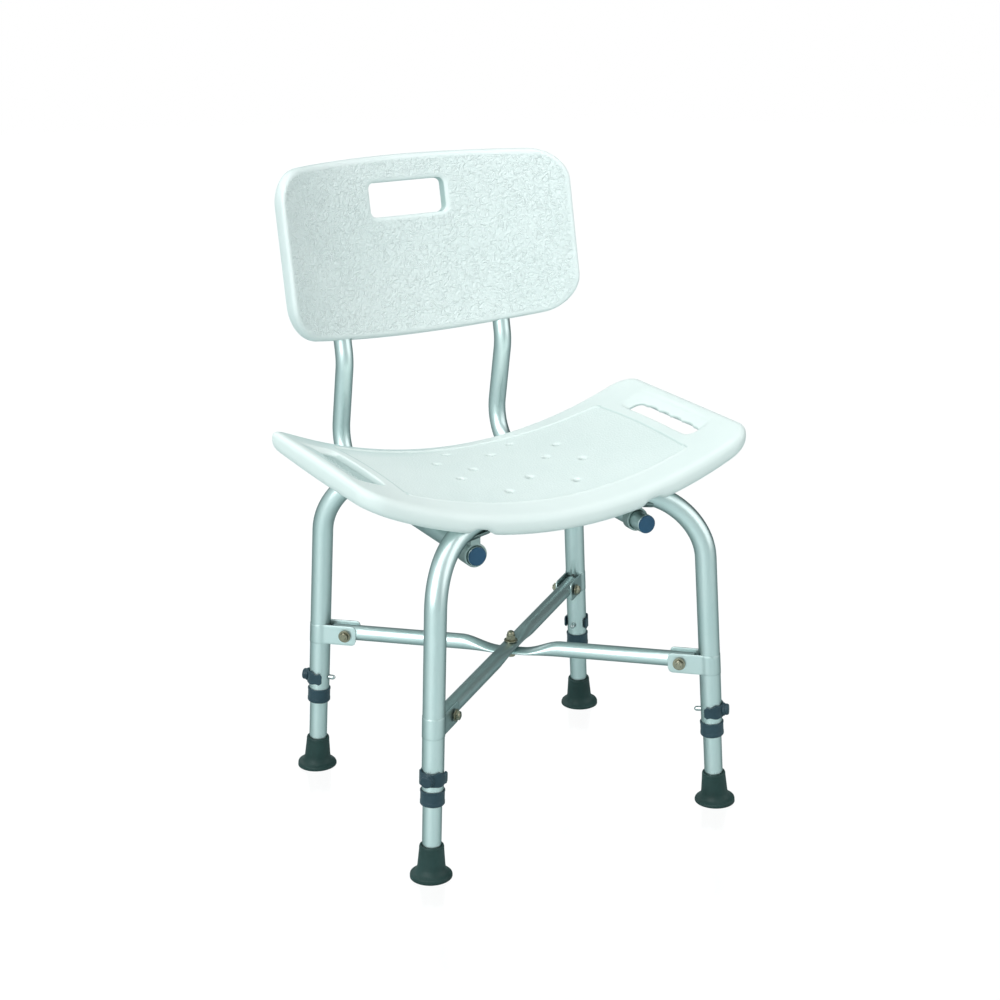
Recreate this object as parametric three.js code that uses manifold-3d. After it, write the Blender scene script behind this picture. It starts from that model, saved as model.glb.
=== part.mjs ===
// Shower chair with a saddle seat, a lift-off backrest and four telescopic legs.
//
// Two inverted U frames stand across the chair, one at the front and one at the back. The seat is
// screwed down on them through four saddle brackets. Loops under those brackets carry the two
// backrest tubes. Rubber-tipped leg tubes slide in the frames and are held by clip-on pins, and a
// pair of crossing braces ties the four legs together.
//
// Millimetres. +Z is up and -Y is the front of the chair. Left (-X) and right (+X) are as seen from
// the front. The model is built about the centre of the four feet and then moved so that its box
// stands on the origin.

import * as THREE from 'three';
import { mergeVertices } from 'three/addons/utils/BufferGeometryUtils.js';
import Module from 'manifold-3d';

const wasm = await Module();
wasm.setup();

// ---------------------------------------------------------------- driving dimensions

const GAP = 0.3; // running gap between touching pieces

const TUBE_OD = 25.4; // leg frames
const TUBE_WALL = 1.2;
const LEG_OD = 22.2; // telescopic leg tubes and backrest tubes
const BRACE_OD = 19;
const TUBE_SIDES = 12;

// A leg axis runs from FOOT on the floor to KNEE, where the frame tube starts to bend.
const FOOT = { x: 193, y: 165 };
const KNEE = { x: 176.7, y: 156.4, z: 316 };
const SHOULDER = { x: 94, y: 120, z: 397 }; // end of the top bend
const FRAME_DIP = 10; // the top tube sags to follow the saddle of the seat
const BEND_HANDLE = 46; // length of the bend's Bezier handles

const COLLAR_Z = 97.5;
const PIN_Z = 121.5;
const PIN_RADIUS = 3;
const BRACE_Z = 182;
const LEG_HOLE_PITCH = 19.05;
const LEG_HOLES = 7;

const BACK_TUBE_X = 111;
const BACK_TUBE_Z = 360;
const BACK_TUBE_FRONT = -129;

const SEAT = {
  width: 506,
  depth: 300,
  taper: 7, // how far the front and back edges draw in from their middle to their ends
  topZ: 416, // middle of the top face
  bottomZ: 378, // middle of the underside
  fall: 16, // how far the top face falls from its middle to the front and back edges
  topArc: { middle: 684, edge: 527 }, // radius of the saddle along its middle and its edges
  bottomArc: { middle: 560, edge: 516 },
  corner: 26,
  edge: 7, // bevel along the rim
};
const HAND_SLOT = { x: 206, y: -10, width: 21, length: 138, fingers: 4, finger: 26 };
const DRAIN_HOLES = [
  [81, 32], [-81, 32], [81, -32], [-81, -32],
  [44, 81], [-44, 81], [44, -81], [-44, -81],
  [49, 0], [-49, 0], [0, 49], [0, -49],
];
const DRAIN_RADIUS = 4;

const BACK = {
  width: 394,
  edgeHeight: 200,
  crown: 13, // rise of the top and bottom edges in the middle
  thickness: 25,
  arc: 300, // radius in plan
  corner: 40,
  tilt: THREE.MathUtils.degToRad(12),
  y: 268,
  z: 633,
};
const BACK_SLOT = { height: 43, width: 104, rise: 58, flare: 9 };

const COLOURS = {
  seat_plastic: [0xe9f1ee, 0.55, 0],
  aluminium: [0xb9c6c8, 0.32, 0.9],
  bracket_plate: [0xc3cdce, 0.45, 0.8],
  zinc_bracket: [0x6d7568, 0.4, 0.85],
  slate_plastic: [0x2b3b4c, 0.5, 0],
  cap_plastic: [0x3c5f91, 0.45, 0],
  rubber: [0x20302d, 0.8, 0],
  steel: [0xc9cdcf, 0.25, 1],
  brass_zinc: [0x9a8c5c, 0.35, 0.9],
};

const CORNERS = [
  ['front_left', -1, -1],
  ['front_right', 1, -1],
  ['back_left', -1, 1],
  ['back_right', 1, 1],
];
const SIDES = [['left', -1], ['right', 1]];

// ---------------------------------------------------------------- helpers

const vec = (x, y, z) => new THREE.Vector3(x, y, z);
const UP = vec(0, 0, 1);

/** A curve through given points and tangents, so that an extrusion steps only where it bends. */
class StationCurve extends THREE.Curve {
  constructor(points, tangents) {
    super();
    this.points = points;
    this.tangents = tangents;
  }

  at(list, u) {
    return list[Math.round(u * (list.length - 1))].clone();
  }

  getPoint(u) {
    return this.at(this.points, u);
  }

  getPointAt(u) {
    return this.at(this.points, u);
  }

  getTangent(u) {
    return this.at(this.tangents, u);
  }

  getTangentAt(u) {
    return this.at(this.tangents, u);
  }

  /** The stations of several curves laid end to end; each has its own number of steps. */
  static chain(pieces) {
    const points = [];
    const tangents = [];
    for (const [curve, steps] of pieces) {
      for (let i = points.length ? 1 : 0; i <= steps; i++) {
        points.push(curve.getPoint(i / steps));
        tangents.push(curve.getTangent(i / steps).normalize());
      }
    }
    return new StationCurve(points, tangents);
  }
}

const line = (a, b) => new THREE.LineCurve3(a, b);

/** A circular arc about a centre in a plane of constant x. */
class SideArc extends THREE.Curve {
  constructor(x, centreY, centreZ, radius, from, to) {
    super();
    Object.assign(this, { x, centreY, centreZ, radius, from, to });
  }

  getPoint(u) {
    const angle = this.from + (this.to - this.from) * u;
    const { x, centreY, centreZ, radius } = this;
    return vec(x, centreY + radius * Math.cos(angle), centreZ + radius * Math.sin(angle));
  }
}

/** Corner radius of a polygon that a circle of the given radius just fits in. */
const roundIn = (radius, sides) => radius / Math.cos(Math.PI / sides);

function circlePoints(radius, sides) {
  const step = (2 * Math.PI) / sides;
  return Array.from({ length: sides }, (_, i) =>
    new THREE.Vector2(radius * Math.cos((i + 0.5) * step), radius * Math.sin((i + 0.5) * step)));
}

/** A ring whose outer corners lie on the outer circle and whose inner sides touch the inner one. */
function ringShape(outer, inner, sides = TUBE_SIDES) {
  const shape = new THREE.Shape(circlePoints(outer, sides));
  if (inner > 0) shape.holes.push(new THREE.Path(circlePoints(roundIn(inner, sides), sides)));
  return shape;
}

/** A tube, or a rod where inner is 0, swept along a station curve. */
function sweep(curve, outer, inner = 0, sides = TUBE_SIDES) {
  return new THREE.ExtrudeGeometry(ringShape(outer, inner, sides), {
    extrudePath: curve,
    steps: curve.points.length - 1,
  });
}

function roundedRect(width, height, radius, arcSteps) {
  const points = [];
  for (const [sx, sy, start] of [[1, 1, 0], [-1, 1, 90], [-1, -1, 180], [1, -1, 270]]) {
    for (let i = 0; i <= arcSteps; i++) {
      const angle = THREE.MathUtils.degToRad(start + (90 * i) / arcSteps);
      points.push(new THREE.Vector2(
        sx * (width / 2 - radius) + radius * Math.cos(angle),
        sy * (height / 2 - radius) + radius * Math.sin(angle)));
    }
  }
  return points;
}

/** Extrudes an outline upwards from z = from to z = to. */
function prism(points, from, to) {
  const shape = points instanceof THREE.Shape ? points : new THREE.Shape(points);
  const geometry = new THREE.ExtrudeGeometry(shape, { depth: to - from, bevelEnabled: false });
  return geometry.translate(0, 0, from);
}

/** A solid of revolution about Z from [radius, z] pairs that start and end on the axis. */
function turned(profile, sides = TUBE_SIDES) {
  const geometry = new THREE.LatheGeometry(profile.map(([r, z]) => new THREE.Vector2(r, z)), sides);
  return geometry.rotateX(Math.PI / 2);
}

/** A rod of the given radius along Z, and a hole that such a rod fits in. */
const rod = (radius, from, to, sides = 8) => prism(circlePoints(radius, sides), from, to);
const bore = (radius, from, to, sides = 8) => rod(roundIn(radius, sides), from, to, sides);

const box = (x0, x1, y0, y1, z0, z1) =>
  new THREE.BoxGeometry(x1 - x0, y1 - y0, z1 - z0).translate((x0 + x1) / 2, (y0 + y1) / 2, (z0 + z1) / 2);

/** The matrix of a frame at a point whose X and Z axes are the given unit vectors. */
function frameAt(origin, xAxis, zAxis) {
  const yAxis = new THREE.Vector3().crossVectors(zAxis, xAxis);
  return new THREE.Matrix4().makeBasis(xAxis, yAxis, zAxis).setPosition(origin);
}

function solid(geometry) {
  const bare = geometry.clone();
  for (const name of Object.keys(bare.attributes)) {
    if (name !== 'position') bare.deleteAttribute(name);
  }
  const merged = mergeVertices(bare, 1e-4);
  return new wasm.Manifold(new wasm.Mesh({
    numProp: 3,
    vertProperties: new Float32Array(merged.attributes.position.array),
    triVerts: new Uint32Array(dropSlivers(Array.from(merged.index.array))),
  }));
}

/** Leaves out triangles that merging has folded to nothing, as at the poles of a turned solid. */
function dropSlivers(index) {
  const kept = [];
  for (let i = 0; i < index.length; i += 3) {
    const [a, b, c] = index.slice(i, i + 3);
    if (a !== b && b !== c && c !== a) kept.push(a, b, c);
  }
  return kept;
}

function geometryOf(manifold) {
  const mesh = manifold.getMesh();
  const points = new Float32Array((mesh.vertProperties.length / mesh.numProp) * 3);
  for (let i = 0; i < points.length / 3; i++) {
    points.set(mesh.vertProperties.subarray(i * mesh.numProp, i * mesh.numProp + 3), i * 3);
  }
  const geometry = new THREE.BufferGeometry();
  geometry.setAttribute('position', new THREE.BufferAttribute(points, 3));
  geometry.setIndex(new THREE.BufferAttribute(new Uint32Array(mesh.triVerts), 1));
  return geometry;
}

const join = (...parts) => geometryOf(parts.map(solid).reduce((whole, part) => whole.add(part)));
const cut = (body, ...tools) =>
  geometryOf(tools.map(solid).reduce((rest, tool) => rest.subtract(tool), solid(body)));
const common = (a, b) => geometryOf(solid(a).intersect(solid(b)));

const chair = new THREE.Group();

function addPiece(name, finish, geometry, parent = chair) {
  const [color, roughness, metalness] = COLOURS[finish];
  const mesh = new THREE.Mesh(geometry, new THREE.MeshStandardMaterial({ color, roughness, metalness }));
  mesh.name = name;
  parent.add(mesh);
  return mesh;
}

// ---------------------------------------------------------------- legs: axes and frames

/** The point of a leg's axis at height z. */
function legPoint(sx, sy, z) {
  const t = z / KNEE.z;
  return vec(sx * THREE.MathUtils.lerp(FOOT.x, KNEE.x, t), sy * THREE.MathUtils.lerp(FOOT.y, KNEE.y, t), z);
}

const legUp = (sx, sy) => legPoint(sx, sy, 1).sub(legPoint(sx, sy, 0)).normalize();

/** The direction square to a leg that points away from the middle of the chair. */
function legOutward(sx, sy) {
  const up = legUp(sx, sy);
  const outward = vec(sx * FOOT.x, sy * FOOT.y, 0).normalize();
  return outward.addScaledVector(up, -outward.dot(up)).normalize();
}

/** A leg's own frame at height z: X points outwards, Z up along the tube. */
const legFrame = (sx, sy, z) => frameAt(legPoint(sx, sy, z), legOutward(sx, sy), legUp(sx, sy));

/** The route of a U frame's tube from the left collar over the seat's width to the right one. */
function frameRoute(sy) {
  const bend = (sx) => {
    const knee = legPoint(sx, sy, KNEE.z);
    const shoulder = vec(sx * SHOULDER.x, sy * SHOULDER.y, SHOULDER.z);
    const inward = vec(-sx, 0, 0.02);
    return new THREE.CubicBezierCurve3(
      knee, knee.clone().addScaledVector(legUp(sx, sy), BEND_HANDLE),
      shoulder.clone().addScaledVector(inward, -BEND_HANDLE), shoulder);
  };
  const reversed = (b) => new THREE.CubicBezierCurve3(b.v3, b.v2, b.v1, b.v0);
  const left = bend(-1);
  const right = bend(1);
  const dip = vec(0, sy * SHOULDER.y, SHOULDER.z - (4 / 3) * FRAME_DIP);
  const across = new THREE.CubicBezierCurve3(
    left.v3, vec(-SHOULDER.x / 2, dip.y, dip.z), vec(SHOULDER.x / 2, dip.y, dip.z), right.v3);
  const end = COLLAR_Z - 7.5;
  return StationCurve.chain([
    [line(legPoint(-1, sy, end), left.v0), 1], [left, 5], [across, 4],
    [reversed(right), 5], [line(right.v0, legPoint(1, sy, end)), 1],
  ]);
}

const frameRoutes = { front: frameRoute(-1), back: frameRoute(1) };

/** A hole across a leg, from one side to the other, for its lock pin. */
const pinHole = (sx, sy, z) =>
  bore(PIN_RADIUS + GAP, -20, 20, 4).rotateY(Math.PI / 2).applyMatrix4(legFrame(sx, sy, z));

for (const [end, sy] of [['front', -1], ['back', 1]]) {
  const tube = sweep(frameRoutes[end], TUBE_OD / 2, TUBE_OD / 2 - TUBE_WALL);
  const holes = SIDES.map(([, sx]) => pinHole(sx, sy, PIN_Z));
  addPiece(`leg_frame_${end}`, 'aluminium', cut(tube, ...holes));
}

// ---------------------------------------------------------------- telescopic legs

const LEG_TOP = PIN_Z + (LEG_HOLES - 1) * LEG_HOLE_PITCH + 14;
const FOOT_BORE_Z = 9; // the leg tube's end inside the rubber foot

function legTube(sx, sy) {
  const bottom = legPoint(sx, sy, FOOT_BORE_Z + GAP);
  const length = legPoint(sx, sy, LEG_TOP).distanceTo(bottom);
  const outer = LEG_OD / 2;
  const shape = ringShape(outer, outer - TUBE_WALL);
  const place = frameAt(bottom, legOutward(sx, sy), legUp(sx, sy));
  const tube = prism(shape, 0, length).applyMatrix4(place);
  const holes = Array.from({ length: LEG_HOLES }, (_, i) => {
    const shift = legUp(sx, sy).multiplyScalar(i * LEG_HOLE_PITCH);
    return pinHole(sx, sy, PIN_Z).translate(shift.x, shift.y, shift.z);
  });
  return cut(tube, ...holes);
}

/** Rubber foot: a tapered sleeve over a flared sole, cut level with the floor. */
function rubberFoot(sx, sy) {
  const body = turned([
    [0, -6], [24.6, -6], [24.6, 5], [17, 13.5], [14, 40], [0, 40],
  ], 16);
  const socket = bore(LEG_OD / 2 + GAP, FOOT_BORE_Z, 60, TUBE_SIDES);
  const hollow = cut(body, socket).applyMatrix4(legFrame(sx, sy, 0));
  return common(hollow, box(-300, 300, -300, 300, 0, 100));
}

/** Bush pressed on the frame tube's end, with a lip that guides the leg tube. */
function collar() {
  const outer = 14.4;
  const half = 9;
  const seatRadius = roundIn(TUBE_OD / 2 + GAP, TUBE_SIDES);
  const guideRadius = roundIn(LEG_OD / 2 + GAP, TUBE_SIDES);
  return turned([
    [guideRadius, -half], [outer - 1, -half], [outer, -half + 2], [outer, half],
    [seatRadius, half], [seatRadius, -half + 1], [guideRadius, -half + 1], [guideRadius, -half],
  ]);
}

// ---------------------------------------------------------------- lock clips and pins

const CLIP = { height: 17, inner: TUBE_OD / 2 + GAP, wall: 2.4 };

/** Spring strap open towards the middle of the chair, with the pin's knob on its outer side. */
function lockClip() {
  const outer = CLIP.inner + CLIP.wall;
  const shape = new THREE.Shape();
  const steps = 8;
  const at = (radius, i) => {
    const angle = Math.PI / 2 + (Math.PI * i) / steps;
    return new THREE.Vector2(-radius * Math.cos(angle), radius * Math.sin(angle));
  };
  shape.moveTo(-6, outer);
  for (let i = 0; i <= steps; i++) shape.lineTo(at(outer, i).x, at(outer, i).y);
  shape.lineTo(-6, -outer);
  shape.lineTo(-6, -CLIP.inner);
  for (let i = steps; i >= 0; i--) shape.lineTo(at(CLIP.inner, i).x, at(CLIP.inner, i).y);
  shape.lineTo(-6, CLIP.inner);
  const strap = prism(shape, -CLIP.height / 2, CLIP.height / 2);
  const knob = turned([
    [0, CLIP.inner + 1], [7.2, CLIP.inner + 1], [7.2, outer + 4.5], [5, outer + 6], [0, outer + 6],
  ], 10).rotateY(Math.PI / 2);
  const pinRoom = bore(PIN_RADIUS + GAP, 0, outer + 3, 6).rotateY(Math.PI / 2);
  return cut(join(strap, knob), pinRoom);
}

/** Steel pin from inside the knob, through both tubes, to a domed tip on the inner side. */
function lockPin() {
  const tail = CLIP.inner + CLIP.wall + 3 - GAP;
  const tip = -(TUBE_OD / 2 + 8);
  const profile = [[0, tip], [2, tip + 0.8], [PIN_RADIUS, tip + 3], [PIN_RADIUS, tail], [0, tail]];
  return turned(profile, 8).rotateY(Math.PI / 2);
}

for (const [corner, sx, sy] of CORNERS) {
  addPiece(`leg_tube_${corner}`, 'aluminium', legTube(sx, sy));
  addPiece(`rubber_foot_${corner}`, 'rubber', rubberFoot(sx, sy));
  addPiece(`leg_collar_${corner}`, 'slate_plastic', collar().applyMatrix4(legFrame(sx, sy, COLLAR_Z)));
  addPiece(`lock_clip_${corner}`, 'slate_plastic', lockClip().applyMatrix4(legFrame(sx, sy, PIN_Z)));
  addPiece(`lock_pin_${corner}`, 'steel', lockPin().applyMatrix4(legFrame(sx, sy, PIN_Z)));
}

// ---------------------------------------------------------------- cross braces

const EAR = { inner: 10.5, wall: 2, length: 49, height: 25, bolt: 35, corner: 6 };
const BRACE_START = 18; // from the leg's axis to the end of the brace tube
const HEX_FLATS = 10;

/** Inward direction at a corner and the distance from the chair's middle to the leg's axis. */
function braceAxis(sx, sy) {
  const leg = legPoint(sx, sy, BRACE_Z);
  const reach = Math.hypot(leg.x, leg.y);
  return { reach, inward: vec(-leg.x, -leg.y, 0).divideScalar(reach) };
}

const braceFrame = (sx, sy) => frameAt(legPoint(sx, sy, BRACE_Z), braceAxis(sx, sy).inward, UP);

/** Sheet bracket: a band round the leg with two ears that point to the middle of the chair. */
function braceBracket(sx, sy) {
  const half = EAR.height / 2;
  const outer = TUBE_OD / 2 + GAP + EAR.wall;
  const band = rod(outer, -half, half, TUBE_SIDES);
  const ear = (side) => {
    const points = roundedRect(EAR.length, EAR.height, EAR.corner, 2);
    const plate = prism(points, 0, EAR.wall).rotateX(Math.PI / 2);
    const y = side * (EAR.inner + EAR.wall / 2) + EAR.wall / 2;
    return join(plate.translate(EAR.length / 2, y, 0), box(0, 20, y - EAR.wall, y, -half, half));
  };
  const web = box(0, TUBE_OD, -EAR.inner, EAR.inner, -half - 1, half + 1);
  const open = cut(band, web);
  const bracket = join(open, ear(1), ear(-1));
  const boltHole = bore(3 + GAP, -20, 20, 6).rotateX(Math.PI / 2).translate(EAR.bolt, 0, 0);
  const placed = cut(bracket, boltHole).applyMatrix4(braceFrame(sx, sy));
  const legBore = bore(TUBE_OD / 2 + GAP, -40, 40, TUBE_SIDES).applyMatrix4(legFrame(sx, sy, BRACE_Z));
  return cut(placed, legBore);
}

/**
 * One brace tube, squeezed in the middle where the two cross. The wall keeps to one side of the
 * centre line: the lower brace is pressed flat against its own underside, the upper one is pressed
 * up and down until it clears the lower one and leaves a seat for the nut.
 */
function brace(sx, floor, roof) {
  const { reach, inward } = braceAxis(sx, -1);
  const half = reach - BRACE_START;
  const radius = BRACE_OD / 2;
  const stations = [-half, -62, -45, -30, -14, 14, 30, 45, 62, half];
  const points = stations.map((s) => vec(s, 0, 0));
  const route = new StationCurve(points, points.map(() => vec(1, 0, 0)));
  const tube = sweep(route, radius, radius - TUBE_WALL);
  const position = tube.attributes.position;
  for (let i = 0; i < position.count; i++) {
    const along = Math.abs(position.getX(i));
    const squeeze = 1 - THREE.MathUtils.smoothstep(along, 14, 62);
    const low = THREE.MathUtils.lerp(-radius, floor, squeeze);
    const high = THREE.MathUtils.lerp(radius, roof, squeeze);
    const level = (position.getZ(i) + radius) / (2 * radius);
    position.setZ(i, THREE.MathUtils.lerp(low, high, level));
    const widen = 1 + 0.22 * squeeze * (1 - (roof - floor) / BRACE_OD);
    position.setY(i, position.getY(i) * widen);
  }
  const boltHole = bore(3 + GAP, -20, 20, 6);
  const endHoles = [-1, 1].map((end) =>
    bore(3 + GAP, -20, 20, 6).rotateX(Math.PI / 2).translate(end * (reach - EAR.bolt), 0, -1.5));
  return cut(tube, boltHole, ...endHoles).applyMatrix4(frameAt(vec(0, 0, BRACE_Z + 1.5), inward, UP));
}

const LOWER_ROOF = -3.5;
const UPPER_FLOOR = LOWER_ROOF + GAP;
const UPPER_ROOF = 6;

const hexPoints = (flats) => circlePoints(flats / Math.sqrt(3), 6);

/** Hex-head bolt along Z with the underside of its head at z = 0 and its shank below. */
const hexBolt = (length) => join(prism(hexPoints(HEX_FLATS), 0, 4), rod(3, -length, 0.1, 6));

/** Hex nut along Z between z = 0 and z = -5.5. */
const hexNut = () => cut(prism(hexPoints(HEX_FLATS), -5.5, 0), bore(3 + GAP, -9, 1, 6));

addPiece('brace_lower', 'aluminium', brace(1, -BRACE_OD / 2, LOWER_ROOF));
addPiece('brace_upper', 'aluminium', brace(-1, UPPER_FLOOR, UPPER_ROOF));

for (const [corner, sx, sy] of CORNERS) {
  const earFace = EAR.inner + EAR.wall + GAP;
  // The heads are on the side that faces the front of the chair.
  const { inward } = braceAxis(sx, sy);
  const across = new THREE.Vector3().crossVectors(UP, inward);
  const outward = across.y > 0 ? across.clone().negate() : across;
  const centre = legPoint(sx, sy, BRACE_Z).addScaledVector(inward, EAR.bolt);
  const boltFrame = frameAt(centre.clone().addScaledVector(outward, earFace), UP, outward);
  const nutFrame = frameAt(centre.clone().addScaledVector(outward, -earFace), UP, outward);
  addPiece(`brace_bracket_${corner}`, 'bracket_plate', braceBracket(sx, sy));
  addPiece(`brace_bolt_${corner}`, 'brass_zinc', hexBolt(2 * earFace + 7).applyMatrix4(boltFrame));
  addPiece(`brace_nut_${corner}`, 'brass_zinc', hexNut().applyMatrix4(nutFrame));
}

const crossingZ = BRACE_Z + 1.5;
const nutSeatZ = crossingZ + UPPER_ROOF + GAP;
const boltSeatZ = crossingZ - BRACE_OD / 2 - GAP;
const boltTopZ = nutSeatZ + 7;
const centreBolt = hexBolt(boltTopZ - boltSeatZ).rotateX(Math.PI).translate(0, 0, boltSeatZ);
addPiece('centre_bolt', 'brass_zinc', centreBolt);
const domeNut = turned([
  [0, 0], [8.5, 0], [8.5, 1.2], [5.8, 1.8], [5.4, 7.5], [3.2, 12], [0, 13],
], 10);
addPiece('dome_nut', 'brass_zinc', cut(domeNut, bore(3 + GAP, -1, 7 + GAP, 6)).translate(0, 0, nutSeatZ));

// ---------------------------------------------------------------- seat

/** How far an arc through the middle of the seat has risen at a distance x from it. */
const arcRise = (radius, x) => radius - Math.sqrt(radius ** 2 - x ** 2);

/** Height of a face whose saddle follows one arc in the middle and another along its edges. */
function saddleZ(x, y, z, arcs, fall) {
  const middle = z + arcRise(arcs.middle, x);
  const edge = z - fall + arcRise(arcs.edge, x);
  return THREE.MathUtils.lerp(middle, edge, Math.min(1, Math.abs(y) / (SEAT.depth / 2)) ** 2);
}

const seatTop = (x, y) => saddleZ(x, y, SEAT.topZ, SEAT.topArc, SEAT.fall);
const seatBottom = (x, y) => saddleZ(x, y, SEAT.bottomZ, SEAT.bottomArc, 0);

/** Share of the full depth that is left at a distance x from the middle. */
const narrowing = (x) => 1 - ((2 * SEAT.taper) / SEAT.depth) * (x / (SEAT.width / 2)) ** 2;

/** Evenly spaced stations, and one more past each end, down the slope of the bevelled rim. */
function seatStations(length, pieces) {
  const inner = length / 2 - SEAT.edge;
  const middle = Array.from({ length: pieces + 1 }, (_, i) => inner * ((2 * i) / pieces - 1));
  return [-inner - 3 * SEAT.edge, ...middle, inner + 3 * SEAT.edge];
}

/** An oversize slab between the seat's two faces; its top drops away past the rim. */
function seatSlab() {
  const { width, depth, edge, topZ, bottomZ } = SEAT;
  const xs = seatStations(width, 12);
  const ys = seatStations(depth, 4);
  const low = xs.map((x) => new THREE.Vector2(x, bottomZ));
  const high = [...xs].reverse().map((x) => new THREE.Vector2(x, topZ));
  const spans = ys.length - 1;
  const slab = new THREE.ExtrudeGeometry(new THREE.Shape([...low, ...high]), {
    depth: spans,
    steps: spans,
    bevelEnabled: false,
  }).rotateX(Math.PI / 2);
  const position = slab.attributes.position;
  for (let i = 0; i < position.count; i++) {
    const x = position.getX(i);
    const station = ys[Math.round(-position.getY(i))];
    const y = station * narrowing(x);
    const onTop = position.getZ(i) > bottomZ + 1;
    const onRim = Math.abs(x) > width / 2 || Math.abs(station) > depth / 2;
    const top = seatTop(x, y) - (onRim ? 2.1 * edge : 0);
    position.setXYZ(i, x, -y, onTop ? top : seatBottom(x, y));
  }
  return slab;
}

/** The outline of the hand slot, with finger grips along its outer side. */
function handSlotPoints(side) {
  const { width, length, fingers, finger } = HAND_SLOT;
  const points = roundedRect(width, length, 10, 2)
    .filter((p) => p.x < 0 || Math.abs(p.y) > length / 2 - 10);
  const inner = points.filter((p) => p.x < 0);
  const outerEnds = points.filter((p) => p.x >= 0);
  const grips = [];
  for (let i = 0; i <= fingers * 2; i++) {
    grips.push(new THREE.Vector2(width / 2 + (i % 2 ? 2.2 : 0), finger * (i / 2 - fingers / 2)));
  }
  const ring = [...inner, ...outerEnds, ...grips];
  ring.sort((a, b) => Math.atan2(a.y / length, a.x / width) - Math.atan2(b.y / length, b.x / width));
  const mirrored = ring.map((p) => new THREE.Vector2(side * (HAND_SLOT.x + p.x), HAND_SLOT.y + p.y));
  return side > 0 ? mirrored : mirrored.reverse();
}

/** A groove for a frame tube, open at the seat's underside. */
function tubeGroove(sy, route) {
  const radius = roundIn(TUBE_OD / 2 + 2 * GAP, TUBE_SIDES);
  const picked = route.points.map((p, i) => i).filter((i) => Math.abs(route.points[i].x) < 168);
  const points = picked.map((i) => route.points[i]);
  const crown = sweep(new StationCurve(points, picked.map((i) => route.tangents[i])), radius);
  // The open part below is a little narrower than the round part, so that the two cut cleanly.
  const below = [
    ...points.map((p) => new THREE.Vector2(p.x, p.z - 1)),
    new THREE.Vector2(points.at(-1).x, 300),
    new THREE.Vector2(points[0].x, 300),
  ];
  const inUse = points.filter((p) => Math.abs(p.x) < 140).map((p) => Math.abs(p.y));
  const near = Math.min(...inUse) - radius + 0.6;
  const far = Math.max(...inUse) + radius - 0.6;
  const slot = prism(below.reverse(), 0, far - near).rotateX(Math.PI / 2);
  return [crown, slot.translate(0, sy > 0 ? far : -near, 0)];
}

function seat() {
  const edge = densify(roundedRect(SEAT.width, SEAT.depth, SEAT.corner, 4), 60)
    .map((p) => new THREE.Vector2(p.x, p.y * narrowing(p.x)));
  const outline = prism(edge, 300, 600);
  const slots = SIDES.map(([, side]) => prism(handSlotPoints(side), 300, 600));
  const drains = DRAIN_HOLES.map(([x, y]) => bore(DRAIN_RADIUS, 300, 600, 6).translate(x, y, 0));
  const grooves = [...tubeGroove(-1, frameRoutes.front), ...tubeGroove(1, frameRoutes.back)];
  const fixings = [...rimNotches(), ...bracketRecesses(), ...screwBores()];
  return cut(common(seatSlab(), outline), ...slots, ...drains, ...grooves, ...fixings);
}

/** The rim's lower edge is arched over each end of the backrest tubes. */
function rimNotches() {
  return CORNERS.map(([, sx, sy]) => {
    const floor = seatBottom(BACK_TUBE_X, SEAT.depth / 2);
    const arch = [[-17, -60], [-17, -3], [-9, 5], [9, 5], [17, -3], [17, -60]];
    const shape = arch.map(([x, z]) => new THREE.Vector2(sx * BACK_TUBE_X + x, floor + z)).reverse();
    return prism(shape, 0, 30).rotateX(Math.PI / 2).translate(0, sy > 0 ? 158 : -128, 0);
  });
}

// ---------------------------------------------------------------- saddle brackets and seat screws

const SADDLE = { length: 28, wall: 2.6, tabReach: 39, tabZ: -3.6, lipZ: -8, screwY: 30 };
const LOOP_WALL = 2.6;
const LOOPS = { left: { y: 116, length: 22 }, right: { y: 104, length: 12 } };
const SCREW = { radius: 2.5, head: 5, length: 18 };

/** The point and direction of a frame tube above the backrest tube on one side. */
function saddlePlace(sx, sy) {
  const route = sy < 0 ? frameRoutes.front : frameRoutes.back;
  const i = route.points.findIndex((p, k) => k > 0
    && (route.points[k - 1].x - sx * BACK_TUBE_X) * (p.x - sx * BACK_TUBE_X) <= 0);
  const a = route.points[i - 1];
  const b = route.points[i];
  const t = (sx * BACK_TUBE_X - a.x) / (b.x - a.x);
  const along = b.clone().sub(a);
  along.y = 0;
  return { origin: a.clone().lerp(b, t), along: along.normalize() };
}

function saddleFrame(sx, sy) {
  const { origin, along } = saddlePlace(sx, sy);
  const up = new THREE.Vector3().crossVectors(along, vec(0, 1, 0));
  return frameAt(origin, along, up);
}

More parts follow.
